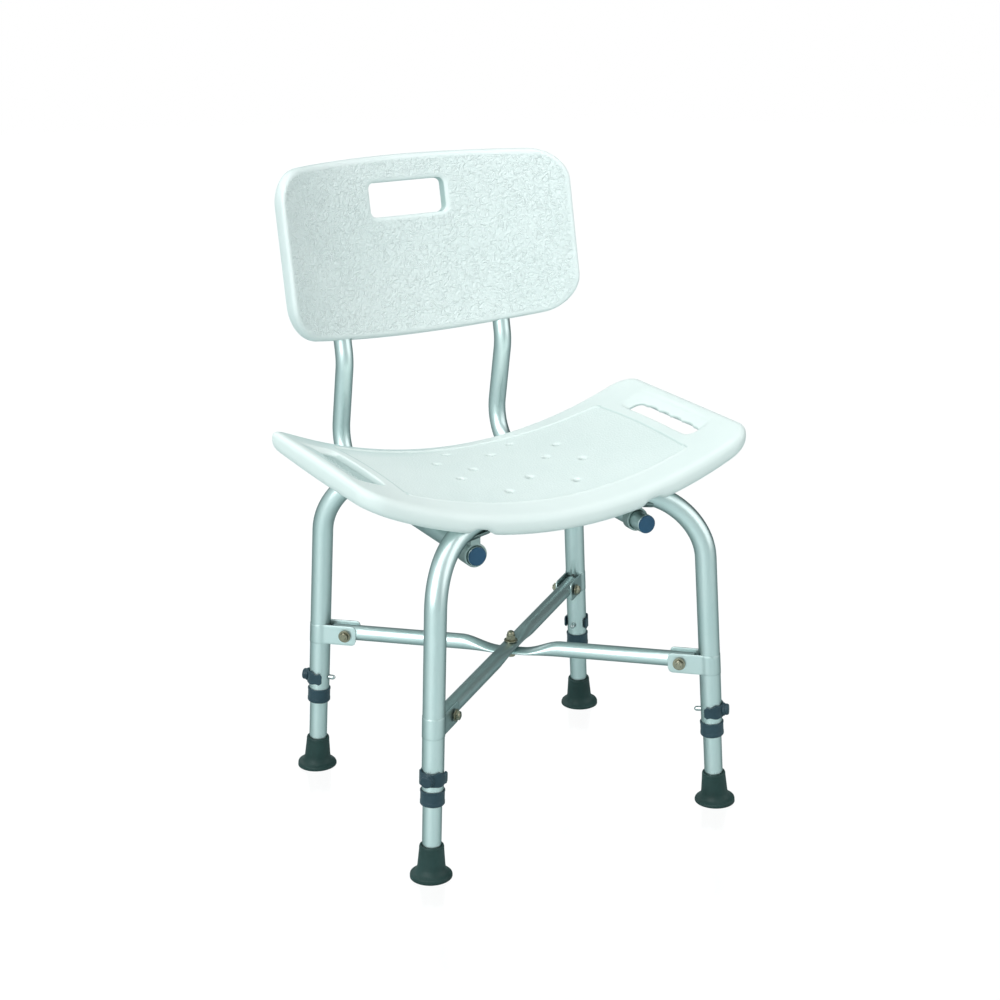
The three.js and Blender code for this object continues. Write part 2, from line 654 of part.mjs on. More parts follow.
/** Cradle under the frame tube, tab screwed to the seat, and loop for the backrest tube. */
function saddleBracket(sx, sy) {
  const place = saddleFrame(sx, sy);
  const outer = TUBE_OD / 2 + GAP + SADDLE.wall;
  const half = SADDLE.length / 2;
  // The cradle stands higher on the tab's side than on the side of the rim.
  const below = (low, high, top) => box(-half - 1, half + 1, low, high, -outer, top);
  const [lip, back] = sy < 0
    ? [below(-outer, outer, SADDLE.lipZ), below(0, outer, SADDLE.tabZ)]
    : [below(-outer, outer, SADDLE.lipZ), below(-outer, 0, SADDLE.tabZ)];
  const cradle = common(rod(outer, -half, half, TUBE_SIDES).rotateY(Math.PI / 2), join(lip, back));
  const reach = SADDLE.tabReach;
  const tab = box(-11, 11, sy < 0 ? 8 : -reach, sy < 0 ? reach : -8, SADDLE.tabZ - SADDLE.wall, SADDLE.tabZ);
  const screwHole = bore(SCREW.radius + GAP, -30, 10, 6).translate(0, -sy * SADDLE.screwY, 0);
  const upper = cut(join(cradle, tab), screwHole).applyMatrix4(place);
  const { origin } = saddlePlace(sx, sy);
  const { y, length } = LOOPS[sx < 0 ? 'left' : 'right'];
  const [x, loopY, loopHalf] = [sx * BACK_TUBE_X, sy * y, length / 2];
  const loop = rod(LEG_OD / 2 + GAP + LOOP_WALL, -loopHalf, loopHalf, TUBE_SIDES);
  const backBore = bore(LEG_OD / 2 + GAP, -30, 30, TUBE_SIDES);
  const [ring, room] = [loop, backBore].map((g) =>
    g.rotateX(Math.PI / 2).translate(x, loopY, BACK_TUBE_Z));
  const web = box(-6, 6, -loopHalf, loopHalf, BACK_TUBE_Z, origin.z - 8).translate(x, loopY, 0);
  const route = sy < 0 ? frameRoutes.front : frameRoutes.back;
  const tubeRoom = sweep(route, roundIn(TUBE_OD / 2 + GAP, TUBE_SIDES));
  return cut(join(upper, ring, web), room, tubeRoom);
}

/** Room in the seat for each bracket, and for its loop behind the rim. */
function bracketRecesses() {
  return CORNERS.map(([, sx, sy]) => {
    const half = SADDLE.length / 2 + 1;
    const outer = TUBE_OD / 2 + GAP + SADDLE.wall + 1;
    const reach = SADDLE.tabReach + 1;
    const cradle = box(-half, half, -outer, outer, -40, SADDLE.tabZ + GAP);
    const tab = box(-12, 12, sy < 0 ? 0 : -reach, sy < 0 ? reach : 0, -40, SADDLE.tabZ + GAP);
    return join(cradle, tab).applyMatrix4(saddleFrame(sx, sy));
  });
}

const screwBores = () => CORNERS.map(([, sx, sy]) =>
  bore(SCREW.radius + GAP, -12, SCREW.length - 5, 6)
    .translate(0, -sy * SADDLE.screwY, 0)
    .applyMatrix4(saddleFrame(sx, sy)));

/** Pan-head screw that holds a bracket's tab to the seat. */
function seatScrew(sx, sy) {
  const under = SADDLE.tabZ - SADDLE.wall - GAP;
  const { radius, head, length } = SCREW;
  const screw = turned([
    [0, under - 3], [head - 1.2, under - 3], [head, under - 1.6], [head, under], [radius, under],
    [radius, under + length], [0, under + length],
  ], 8);
  return screw.translate(0, -sy * SADDLE.screwY, 0).applyMatrix4(saddleFrame(sx, sy));
}

// ---------------------------------------------------------------- backrest

/** The backrest tube's route: under the seat, up behind it, and back into the panel. */
function backTubeRoute(sx) {
  const x = sx * BACK_TUBE_X;
  const lean = BACK.tilt;
  const lowBend = 52;
  const highBend = 60;
  const lowCentre = { y: 190, z: BACK_TUBE_Z + lowBend };
  const low = new SideArc(x, lowCentre.y, lowCentre.z, lowBend, -Math.PI / 2, lean);
  const lowEnd = low.getPoint(1);
  const straight = 72;
  const highStart = lowEnd.clone().add(vec(0, -Math.sin(lean), Math.cos(lean)).multiplyScalar(straight));
  const highCentre = highStart.clone().add(vec(0, Math.cos(lean), Math.sin(lean)).multiplyScalar(highBend));
  const high = new SideArc(x, highCentre.y, highCentre.z, highBend, Math.PI + lean, Math.PI - lean);
  const highEnd = high.getPoint(1);
  const top = highEnd.clone().add(vec(0, Math.sin(lean), Math.cos(lean)).multiplyScalar(105));
  return StationCurve.chain([
    [line(vec(x, BACK_TUBE_FRONT, BACK_TUBE_Z), low.getPoint(0)), 1],
    [low, 7], [line(lowEnd, highStart), 1], [high, 3], [line(highEnd, top), 1],
  ]);
}

/** The panel's own frame: X across, Y through it to the back, Z up its face. */
const panelFrame = () =>
  frameAt(vec(0, BACK.y, BACK.z), vec(1, 0, 0), vec(0, Math.sin(BACK.tilt), Math.cos(BACK.tilt)));

function backrestPanel() {
  const { width, edgeHeight, crown, thickness, arc } = BACK;
  const steps = 18;
  // Plan section: two arcs about one centre, so the panel wraps towards the sitter.
  const half = Math.asin(width / 2 / arc);
  const angles = Array.from({ length: steps + 1 }, (_, i) => half * ((2 * i) / steps - 1));
  const face = (radius) =>
    angles.map((a) => new THREE.Vector2(radius * Math.sin(a), radius * Math.cos(a) - arc));
  const section = [...face(arc - thickness / 2), ...face(arc + thickness / 2).reverse()];
  const tall = edgeHeight + 2 * crown;
  const wrap = prism(section, -tall / 2, tall / 2);
  // Front outline: a rounded rectangle whose top and bottom edges bow outwards.
  const outline = densify(roundedRect(width, edgeHeight, BACK.corner, 5), 40);
  const bowed = outline.map((p) => {
    const bow = crown * (1 - (p.x / (width / 2)) ** 2) * THREE.MathUtils.clamp(p.y / (edgeHeight / 2), -1, 1);
    return new THREE.Vector2(p.x, p.y + bow);
  });
  const front = prism(bowed, -60, 140).rotateX(Math.PI / 2);
  const slotPoints = roundedRect(BACK_SLOT.width, BACK_SLOT.height, 8, 3);
  const slot = prism(slotPoints, -60, 140).translate(0, BACK_SLOT.rise, 0).rotateX(Math.PI / 2);
  // Behind the middle of the panel the slot opens out, which leaves a thin lip to hold.
  const flare = 2 * BACK_SLOT.flare;
  const behind = prism(roundedRect(BACK_SLOT.width + flare, BACK_SLOT.height + flare, 14, 3), -60, -1)
    .translate(0, BACK_SLOT.rise, 0).rotateX(Math.PI / 2);
  const blank = cut(common(wrap, front), slot, behind).applyMatrix4(panelFrame());
  const sockets = SIDES.map(([, sx]) => {
    const route = backTubeRoute(sx);
    const [from, to] = [route.points.at(-2), route.points.at(-1)];
    const along = to.clone().sub(from).normalize();
    return sweep(StationCurve.chain([[line(from, to.clone().addScaledVector(along, 1)), 1]]),
      roundIn(LEG_OD / 2 + GAP, TUBE_SIDES));
  });
  return cut(blank, ...sockets, ...SIDES.map(([, sx]) => backScrew(sx, GAP)));
}

/** Adds points to the long straight sides of an outline. */
function densify(points, longest) {
  const out = [];
  points.forEach((p, i) => {
    const next = points[(i + 1) % points.length];
    const pieces = Math.max(1, Math.ceil(p.distanceTo(next) / longest));
    for (let k = 0; k < pieces; k++) out.push(p.clone().lerp(next, k / pieces));
  });
  return out;
}

/** Screw from the panel's back into the tube, or its bore when a clearance is given. */
function backScrew(sx, clearance = 0) {
  const route = backTubeRoute(sx);
  const [from, to] = [route.points.at(-2), route.points.at(-1)];
  const along = to.clone().sub(from).normalize();
  const place = to.clone().addScaledVector(along, -22);
  const out = new THREE.Vector3().crossVectors(vec(1, 0, 0), along).negate();
  const headBase = LEG_OD / 2 + 3.4;
  const screw = clearance
    ? join(bore(2.2 + clearance, -4, headBase + 1, 6), bore(4.5 + clearance, headBase - clearance, 30))
    : join(rod(2.2, -3, headBase + 0.2, 6), rod(4.5, headBase, headBase + 2.4));
  return screw.applyMatrix4(frameAt(place, vec(1, 0, 0), out));
}

// ---------------------------------------------------------------- end caps

/** Push-in cap: a disc over the tube's end with a hollow plug inside it. */
function endCap(sx) {
  const inside = LEG_OD / 2 - TUBE_WALL - GAP;
  const cap = turned([
    [0, -3], [9.4, -3], [LEG_OD / 2, -1.6], [LEG_OD / 2, -GAP], [inside, -GAP], [inside, 3], [0, 3],
  ]);
  return cap.rotateX(-Math.PI / 2).translate(sx * BACK_TUBE_X, BACK_TUBE_FRONT, BACK_TUBE_Z);
}

// ---------------------------------------------------------------- assembly of seat and backrest

addPiece('seat', 'seat_plastic', seat());
for (const [corner, sx, sy] of CORNERS) {
  addPiece(`saddle_bracket_${corner}`, 'zinc_bracket', saddleBracket(sx, sy));
  addPiece(`seat_screw_${corner}`, 'steel', seatScrew(sx, sy));
}

addPiece('backrest_panel', 'seat_plastic', backrestPanel());
for (const [side, sx] of SIDES) {
  const tube = sweep(backTubeRoute(sx), LEG_OD / 2, LEG_OD / 2 - TUBE_WALL);
  const screwHole = backScrew(sx, GAP);
  addPiece(`back_tube_${side}`, 'aluminium', cut(tube, screwHole));
  addPiece(`tube_cap_${side}`, 'cap_plastic', endCap(sx));
  addPiece(`backrest_screw_${side}`, 'steel', backScrew(sx));
}

// The origin is on the floor under the middle of the whole chair's box.
const extent = new THREE.Box3().setFromObject(chair);
chair.position.set(0, -(extent.min.y + extent.max.y) / 2, 0);

export default chair;
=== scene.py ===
"""Shower chair: the detailed visual model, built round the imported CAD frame.

Lengths are in millimetres in the chair's own axes, about the centre of the four feet: +X right and
-Y front as seen from the front, +Z up. Every mesh is moved into the frame, in metres, as it is made.
"""

import math

import bmesh
import bpy
import numpy as np
from mathutils import Matrix, Vector


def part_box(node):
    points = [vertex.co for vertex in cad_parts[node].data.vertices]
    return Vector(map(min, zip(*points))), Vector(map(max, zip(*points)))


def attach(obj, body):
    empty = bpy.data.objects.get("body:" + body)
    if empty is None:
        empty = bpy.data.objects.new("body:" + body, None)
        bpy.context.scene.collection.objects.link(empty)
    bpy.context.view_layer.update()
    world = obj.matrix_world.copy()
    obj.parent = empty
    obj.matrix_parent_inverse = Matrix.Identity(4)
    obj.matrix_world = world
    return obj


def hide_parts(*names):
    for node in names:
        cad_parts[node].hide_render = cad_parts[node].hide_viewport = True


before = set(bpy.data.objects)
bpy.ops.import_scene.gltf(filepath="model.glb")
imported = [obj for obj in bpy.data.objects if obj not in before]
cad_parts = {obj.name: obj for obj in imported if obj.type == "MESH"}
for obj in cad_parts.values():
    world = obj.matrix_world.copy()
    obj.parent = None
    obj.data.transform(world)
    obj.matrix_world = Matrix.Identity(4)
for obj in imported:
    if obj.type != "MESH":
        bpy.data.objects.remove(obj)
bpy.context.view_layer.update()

# ---------------- driving dimensions

MM = 0.001
GAP = 0.3
TUBE_R = 12.7  # leg frames
LEG_R = 11.1  # leg tubes and backrest tubes
BRACE_R = 9.5
WALL = 1.2
PIN_R, PIN_HOLE_R = 3.0, 3.3  # lock pins and their holes
BOLT_R, BOLT_HOLE_R = 3.0, 3.2

FOOT_X, FOOT_Y = 193.0, 165.0
KNEE_X, KNEE_Y, KNEE_Z = 176.7, 156.4, 316.0
SHOULDER_X, SHOULDER_Y, SHOULDER_Z = 94.0, 120.0, 397.0
BEND_HANDLE = 46.0
FRAME_DIP = 10.0

COLLAR_Z = 97.5
TUBE_END = 7.5  # how far below the collar's middle a frame tube ends
PIN_Z = 121.5
BRACE_Z = 182.0
HOLE_PITCH = 19.05
HOLES = 7
LEG_START, LEG_SPARE = 9.3, 14.0  # a leg tube's lower end, and its length above the last hole

BACK_X = 111.0
BACK_Z = 360.0
BACK_FRONT = -129.0
BACK_BEND_Y, BACK_LOW_BEND, BACK_RISE, BACK_HIGH_BEND, BACK_TOP = 190.0, 52.0, 72.0, 60.0, 105.0
BACK_SCREW_DROP = 22.0
RIGHT_LOOP, LEFT_LOOP = (104.0, 6.0), (116.0, 11.0)  # middle and half length of the loops

SEAT_W, SEAT_D = 502.0, 300.0
SEAT_TAPER = 7.0  # how far the front and back edges draw in from their middle to their ends
SEAT_TOP, SEAT_BOTTOM, SEAT_FALL = 416.0, 378.0, 16.0
TOP_ARCS, BOTTOM_ARCS = (684.0, 527.0), (560.0, 535.0)  # saddle radii: middle, front and back edge
SEAT_CORNER = 28.0
RIM_TOP, RIM_BOTTOM, RIM_SHARE = 11.0, 9.0, 0.45  # how far the rim is rounded, and where its halves meet
GRAIN_X, GRAIN_Y, GRAIN_BOW, GRAIN_CORNER = 181.0, 105.0, 9.0, 7.0  # half sizes of the grained panel
SLOT_X, SLOT_Y, SLOT_W, SLOT_L, FINGER = 206.0, -10.0, 21.0, 138.0, 26.0
DRAINS = ((81, 32), (44, 81), (49, 0), (0, 49))
DISH_ROUND = (700.0, 744.1)  # radii of the surface that the dishes are square to

PANEL_W, PANEL_H, PANEL_CROWN = 394.0, 200.0, 13.0
PANEL_T, PANEL_ARC, PANEL_CORNER, PANEL_EDGE = 25.0, 300.0, 40.0, 7.0
PANEL_Y, PANEL_Z = 268.0, 633.0
PANEL_TILT = math.radians(12)
PANEL_SLOT_W, PANEL_SLOT_H, PANEL_SLOT_CORNER = 104.0, 43.0, 8.0
PANEL_SLOT_RISE, PANEL_SLOT_FLARE = 58.0, 9.0

CORNERS = (
    ("front_left", -1, -1),
    ("front_right", 1, -1),
    ("back_left", -1, 1),
    ("back_right", 1, 1),
)
SIDES = (("left", -1), ("right", 1))

# The frame's origin is under the middle of its whole box; the chair's own one is between the feet.
foot_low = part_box("rubber_foot_front_left")[0]
foot_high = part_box("rubber_foot_back_right")[1]
MIDDLE = Vector((0, (foot_low.y + foot_high.y) / 2, 0))

# ---------------- small tools


def unit(v):
    v = np.asarray(v, float)
    return v / np.linalg.norm(v)


def frame_at(origin, x_axis, z_axis):
    """4x4 matrix of a frame whose X and Z axes are the given directions."""
    z = unit(z_axis)
    x = np.asarray(x_axis, float)
    x = unit(x - np.dot(x, z) * z)
    m = np.eye(4)
    m[:3, 0], m[:3, 1], m[:3, 2], m[:3, 3] = x, np.cross(z, x), z, origin
    return m


def moved(points, matrix):
    points = np.asarray(points, float)
    return points @ matrix[:3, :3].T + matrix[:3, 3]


def mesh_data(name, verts, faces):
    """A mesh in frame metres from chair millimetres."""
    verts = np.asarray(verts, float) * MM + np.array(MIDDLE)
    data = bpy.data.meshes.new(name)
    data.from_pydata(verts.tolist(), [], [list(map(int, f)) for f in faces])
    made = bmesh.new()
    made.from_mesh(data)
    bmesh.ops.remove_doubles(made, verts=made.verts, dist=1e-6)
    bmesh.ops.recalc_face_normals(made, faces=made.faces)
    made.to_mesh(data)
    made.free()
    return data


def new_object(name, verts, faces):
    obj = bpy.data.objects.new(name, mesh_data(name, verts, faces))
    bpy.context.scene.collection.objects.link(obj)
    return obj


def apply_modifiers(obj):
    """Replaces the object's mesh by what its modifiers make of it."""
    graph = bpy.context.evaluated_depsgraph_get()
    graph.update()
    data = bpy.data.meshes.new_from_object(obj.evaluated_get(graph))
    obj.modifiers.clear()
    old = obj.data
    obj.data = data
    bpy.data.meshes.remove(old)
    return obj


def boolean(obj, others, operation):
    for other in others:
        mod = obj.modifiers.new("cut", "BOOLEAN")
        mod.operation = operation
        mod.solver = "EXACT"
        mod.object = other
    apply_modifiers(obj)
    for other in others:
        data = other.data
        bpy.data.objects.remove(other)
        bpy.data.meshes.remove(data)
    return obj


def cut(obj, *tools):
    return boolean(obj, tools, "DIFFERENCE")


def fuse(obj, *parts):
    return boolean(obj, parts, "UNION")


def remesh(obj, size, smooth):
    """Melts the object into one even skin with soft edges, as a moulding has."""
    mod = obj.modifiers.new("skin", "REMESH")
    mod.mode = "VOXEL"
    mod.voxel_size = size * MM
    if smooth:
        soft = obj.modifiers.new("soften", "SMOOTH")
        soft.factor = 0.5
        soft.iterations = smooth
    return apply_modifiers(obj)


def bevel(obj, width, segments=2, angle=40):
    mod = obj.modifiers.new("bevel", "BEVEL")
    mod.width = width * MM
    mod.segments = segments
    mod.limit_method = "ANGLE"
    mod.angle_limit = math.radians(angle)
    return apply_modifiers(obj)


def finish_piece(obj, body, node, material, sharp=35):
    """Gives a piece its material, shading and body, and hides the CAD node it stands for."""
    for polygon in obj.data.polygons:
        polygon.use_smooth = True
    obj.data.set_sharp_from_angle(angle=math.radians(sharp))
    obj.data.materials.clear()
    obj.data.materials.append(material)
    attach(obj, body)
    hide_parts(node)
    return obj


def tube_faces(rings, sides, closed=False):
    faces = []
    for i in range(rings if closed else rings - 1):
        for j in range(sides):
            a, b = i * sides, ((i + 1) % rings) * sides
            k = (j + 1) % sides
            faces.append((a + j, a + k, b + k, b + j))
    return faces


def circle(radius, sides):
    angles = np.arange(sides) * 2 * math.pi / sides
    return np.stack([radius * np.cos(angles), radius * np.sin(angles)], 1)


def fillet(points, radius, steps=4):
    """Rounds the inner corners of an open outline."""
    points = [np.asarray(p, float) for p in points]
    out = [points[0]]
    for a, b, c in zip(points, points[1:], points[2:]):
        before, after = np.linalg.norm(a - b), np.linalg.norm(c - b)
        r = min(radius, 0.45 * before, 0.45 * after)
        p, q = b + (a - b) / before * r, b + (c - b) / after * r
        for i in range(steps + 1):
            t = i / steps
            out.append((1 - t) ** 2 * p + 2 * t * (1 - t) * b + t**2 * q)
    return out + [points[-1]]


def turned(name, profile, matrix, sides=40, soften=0.5):
    """A solid of revolution about the matrix's Z axis; the profile starts and ends on the axis."""
    profile = fillet(profile, soften) if soften else profile
    rings = [(r, z) for r, z in profile if r > 1e-6]
    ends = (profile[0][1], profile[-1][1])
    verts = [(*(circle(r, sides)[j]), z) for r, z in rings for j in range(sides)]
    faces = tube_faces(len(rings), sides)
    if profile[0][0] > 1e-6:  # a closed ring
        return new_object(name, moved(verts, matrix), tube_faces(len(rings), sides, True))
    faces.append(tuple(range(sides)))
    faces.append(tuple(range((len(rings) - 1) * sides, len(rings) * sides)))
    verts = np.array(verts)
    verts[:sides, 2], verts[-sides:, 2] = ends[0], ends[1]
    return new_object(name, moved(verts, matrix), faces)


def path_frames(points):
    """Tangent and two normals at every point of a path, carried along it without twist."""
    points = np.asarray(points, float)
    tangents = np.gradient(points, axis=0)
    tangents[0], tangents[-1] = points[1] - points[0], points[-1] - points[-2]
    tangents /= np.linalg.norm(tangents, axis=1)[:, None]
    helper = np.array([0, 1, 0]) if abs(tangents[0][1]) < 0.9 else np.array([1, 0, 0])
    normals = [unit(np.cross(tangents[0], helper))]
    for a, b in zip(tangents, tangents[1:]):
        n = normals[-1] - np.dot(normals[-1], b) * b
        normals.append(unit(n))
    normals = np.array(normals)
    return tangents, normals, np.cross(tangents, normals)


def swept(name, points, outer, inner=0.0, sides=48):
    """A round tube along a path, with slightly broken edges at its two ends."""
    points = np.asarray(points, float)
    tangents, normals, sideways = path_frames(points)
    ring = circle(1.0, sides)

    def loop(index, radius, slide=0.0):
        centre = points[index] + tangents[index] * slide
        return centre + radius * (ring[:, :1] * normals[index] + ring[:, 1:] * sideways[index])

    last = len(points) - 1
    chamfer = 0.25
    rows = [loop(0, outer - chamfer)]
    rows += [loop(0, outer, chamfer)] + [loop(i, outer) for i in range(1, last)]
    rows += [loop(last, outer, -chamfer), loop(last, outer - chamfer)]
    if inner > 0:
        rows += [loop(last, inner + chamfer), loop(last, inner, -chamfer)]
        rows += [loop(i, inner) for i in range(last - 1, 0, -1)]
        rows += [loop(0, inner, chamfer), loop(0, inner + chamfer)]
        faces = tube_faces(len(rows), sides, True)
    else:
        faces = tube_faces(len(rows), sides)
        faces.append(tuple(range(sides)))
        faces.append(tuple(range((len(rows) - 1) * sides, len(rows) * sides)))
    return new_object(name, np.concatenate(rows), faces)


def rod(radius, start, end, sides=32):
    return swept("tool", [start, (np.asarray(start) + np.asarray(end)) / 2, end], radius, 0, sides)


def prism(outline, low, high, matrix=None, name="tool"):
    """An outline in X and Y between two heights, placed by a matrix."""
    count = len(outline)
    verts = [(x, y, z) for z in (low, high) for x, y in outline]
    faces = [tuple(range(count)), tuple(range(count, 2 * count))]
    faces += [(i, (i + 1) % count, count + (i + 1) % count, count + i) for i in range(count)]
    return new_object(name, moved(verts, np.eye(4) if matrix is None else matrix), faces)


def block(low, high, matrix=None):
    (x0, y0, z0), (x1, y1, z1) = low, high
    return prism([(x0, y0), (x1, y0), (x1, y1), (x0, y1)], z0, z1, matrix)


def rounded_rect(width, height, radius, steps=8, straight=1):
    """A rounded rectangle, anticlockwise, with its long sides cut into a number of pieces."""
    points = []
    quarters = ((1, 1, 0), (-1, 1, 90), (-1, -1, 180), (1, -1, 270))
    for sx, sy, start in quarters:
        for i in range(steps + 1):
            a = math.radians(start + 90 * i / steps)
            points.append((
                sx * (width / 2 - radius) + radius * math.cos(a),
                sy * (height / 2 - radius) + radius * math.sin(a),
            ))
    if straight == 1:
        return np.array(points)
    out = []
    for k, p in enumerate(points):
        q = points[(k + 1) % len(points)]
        pieces = straight if (k + 1) % (steps + 1) == 0 else 1
        out += [np.array(p) + (np.array(q) - np.array(p)) * i / pieces for i in range(pieces)]
    return np.array(out)


def rect_distance(x, y, half_x, half_y, radius):
    """Signed distance to a rounded rectangle, negative inside."""
    qx, qy = np.abs(x) - half_x + radius, np.abs(y) - half_y + radius
    outside = np.hypot(np.maximum(qx, 0), np.maximum(qy, 0))
    return outside + np.minimum(np.maximum(qx, qy), 0) - radius


def smoothstep(x, low, high):
    t = np.clip((x - low) / (high - low), 0, 1)
    return t * t * (3 - 2 * t)


def bezier(a, b, c, d, steps):
    t = np.linspace(0, 1, steps + 1)[:, None]
    a, b, c, d = (np.asarray(p, float) for p in (a, b, c, d))
    return (1 - t) ** 3 * a + 3 * t * (1 - t) ** 2 * b + 3 * t**2 * (1 - t) * c + t**3 * d


def read_points(obj):
    """An object's vertices in chair millimetres."""
    flat = np.zeros(len(obj.data.vertices) * 3)
    obj.data.vertices.foreach_get("co", flat)
    return (flat.reshape(-1, 3) - np.array(MIDDLE)) / MM


def write_points(obj, points):
    flat = (np.asarray(points) * MM + np.array(MIDDLE)).astype(np.float32).ravel()
    obj.data.vertices.foreach_set("co", flat)
    obj.data.update()


def vertex_normals(obj):
    flat = np.zeros(len(obj.data.vertices) * 3, np.float32)
    obj.data.vertex_normals.foreach_get("vector", flat)
    return flat.reshape(-1, 3)


def paint(obj, name, values):
    """Stores a number per vertex for the material to read."""
    layer = obj.data.attributes.new(name, "FLOAT", "POINT")
    layer.data.foreach_set("value", np.asarray(values, np.float32))


# ---------------- materials


class Tree:
    """A node tree with short calls for making and joining nodes."""

    def __init__(self, owner):
        owner.use_nodes = True
        self.tree = owner.node_tree

    def add(self, kind, **settings):
        node = self.tree.nodes.new(kind)
        for key, value in settings.items():
            setattr(node, key, value)
        return node

    def link(self, source, target):
        self.tree.links.new(source, target)

    def for_camera(self, seen, otherwise, output):
        """Shows the camera one shader and every other ray another."""
        pick = self.add("ShaderNodeMixShader")
        self.link(self.add("ShaderNodeLightPath").outputs["Is Camera Ray"], pick.inputs["Fac"])
        self.link(otherwise, pick.inputs[1])
        self.link(seen, pick.inputs[2])
        self.link(pick.outputs["Shader"], self.tree.nodes[output].inputs["Surface"])


class Nodes(Tree):
    """The node tree of a new material."""

    def __init__(self, name):
        self.material = bpy.data.materials.new(name)
        super().__init__(self.material)
        self.shader = self.tree.nodes["Principled BSDF"]
        self.place = self.add("ShaderNodeTexCoord").outputs["Object"]

    def set(self, **values):
        for key, value in values.items():
            self.shader.inputs[key.replace("_", " ")].default_value = value

    def noise(self, scale, detail=2.0, roughness=0.5, stretch=None, distortion=0.0):
        node = self.add("ShaderNodeTexNoise")
        node.inputs["Scale"].default_value = scale
        node.inputs["Detail"].default_value = detail
        node.inputs["Roughness"].default_value = roughness
        node.inputs["Distortion"].default_value = distortion
        source = self.place
        if stretch:
            mapping = self.add("ShaderNodeMapping")
            mapping.inputs["Scale"].default_value = stretch
            self.link(self.place, mapping.inputs["Vector"])
            source = mapping.outputs["Vector"]
        self.link(source, node.inputs["Vector"])
        return node.outputs["Fac"]

    def math(self, operation, a, b=0.0, c=0.0):
        node = self.add("ShaderNodeMath", operation=operation)
        for socket, value in zip(node.inputs, (a, b, c)):
            if isinstance(value, (int, float)):
                socket.default_value = value
            else:
                self.link(value, socket)
        return node.outputs[0]

    def attribute(self, name):
        return self.add("ShaderNodeAttribute", attribute_name=name).outputs["Fac"]

    def ramp(self, factor, stops):
        """A colour ramp through (position, colour) stops."""
        node = self.add("ShaderNodeValToRGB")
        elements = node.color_ramp.elements
        while len(elements) < len(stops):
            elements.new(0.5)
        for element, (position, colour) in zip(elements, stops):
            element.position = position
            element.color = (*colour, 1)
        self.link(factor, node.inputs["Fac"])
        return node.outputs["Color"]

    def span(self, factor, low, high):
        """Maps a 0 to 1 factor to a range of values."""
        node = self.add("ShaderNodeMapRange")
        node.inputs["To Min"].default_value = low
        node.inputs["To Max"].default_value = high
        self.link(factor, node.inputs["Value"])
        return node.outputs["Result"]

    def shaded(self, colour, rim, start, end):
        """Paints shade into a colour: darkens it down to a rim where the surface turns away, between two
        facing values.
        """
        edge = self.add("ShaderNodeLayerWeight")
        edge.inputs["Blend"].default_value = 0.5
        shade = self.ramp(edge.outputs["Facing"], ((start, (1, 1, 1)), (end, (rim * 0.75, rim, rim))))
        mix = self.add("ShaderNodeMix", data_type="RGBA", blend_type="MULTIPLY")
        mix.inputs["Factor"].default_value = 1.0
        self.link(colour, mix.inputs["A"])
        self.link(shade, mix.inputs["B"])
        return mix.outputs["Result"]

    def crease_shaded(self, colour):
        """Paints shade into a colour: darkens it as far as the mesh's crease attribute marks it."""
        mix = self.add("ShaderNodeMix", data_type="RGBA", blend_type="MULTIPLY")
        self.link(self.attribute("crease"), mix.inputs["Factor"])
        self.link(colour, mix.inputs["A"])
        mix.inputs["B"].default_value = (0.55, 0.66, 0.65, 1)
        return mix.outputs["Result"]

    def bump(self, height, distance, strength=1.0, under=None):
        node = self.add("ShaderNodeBump")
        node.inputs["Distance"].default_value = distance * MM
        node.inputs["Strength"].default_value = strength
        self.link(height, node.inputs["Height"])
        if under is not None:
            self.link(under, node.inputs["Normal"])
        return node.outputs["Normal"]


def moulded_plastic(name, face, border, wrinkled):
    """White blow-moulded plastic: grained where the mesh's "grain" is 1 and smooth elsewhere."""
    n = Nodes(name)
    grain = n.attribute("grain")
    cloud = n.noise(9, 3)
    mix = n.add("ShaderNodeMix", data_type="RGBA")
    n.link(grain, mix.inputs["Factor"])
    n.link(n.ramp(cloud, ((0.3, border[0]), (0.7, border[1]))), mix.inputs["A"])
    n.link(n.ramp(cloud, ((0.3, face[0]), (0.7, face[1]))), mix.inputs["B"])
    # Painted shade: the colour darkens where the crease attribute is set and towards the outline.
    n.link(n.shaded(n.crease_shaded(mix.outputs["Result"]), 0.70, 0.85, 1.0), n.shader.inputs["Base Color"])
    if wrinkled:
        # Short wandering folds, as leather has, crowding together and thinning out.
        folds = n.noise(200, 1.0, 0.4, distortion=0.8)
        ridge = n.math("SUBTRACT", 1.0, n.math("ABSOLUTE", n.math("MULTIPLY_ADD", folds, 5.0, -2.5)))
        relief = n.math("MULTIPLY", n.math("MAXIMUM", ridge, 0.0), n.span(n.noise(45, 2), 0.75, 1.2))
        depth, fine = 0.9, 0.10
    else:
        pebbles = n.add("ShaderNodeTexVoronoi", feature="SMOOTH_F1")
        pebbles.inputs["Scale"].default_value = 430
        pebbles.inputs["Smoothness"].default_value = 0.4
        n.link(n.place, pebbles.inputs["Vector"])
        relief = pebbles.outputs["Distance"]
        depth, fine = 0.28, 0.06
    coarse = n.bump(n.math("MULTIPLY", relief, grain), depth)
    skin = n.bump(n.noise(900, 3), fine, 0.35, coarse)
    n.link(skin, n.shader.inputs["Normal"])
    sheen = n.math("ADD", n.span(n.noise(40, 4), 0.36, 0.46), n.math("MULTIPLY", grain, 0.12))
    n.link(sheen, n.shader.inputs["Roughness"])
    n.set(Specular_IOR_Level=0.45)
    return n.material


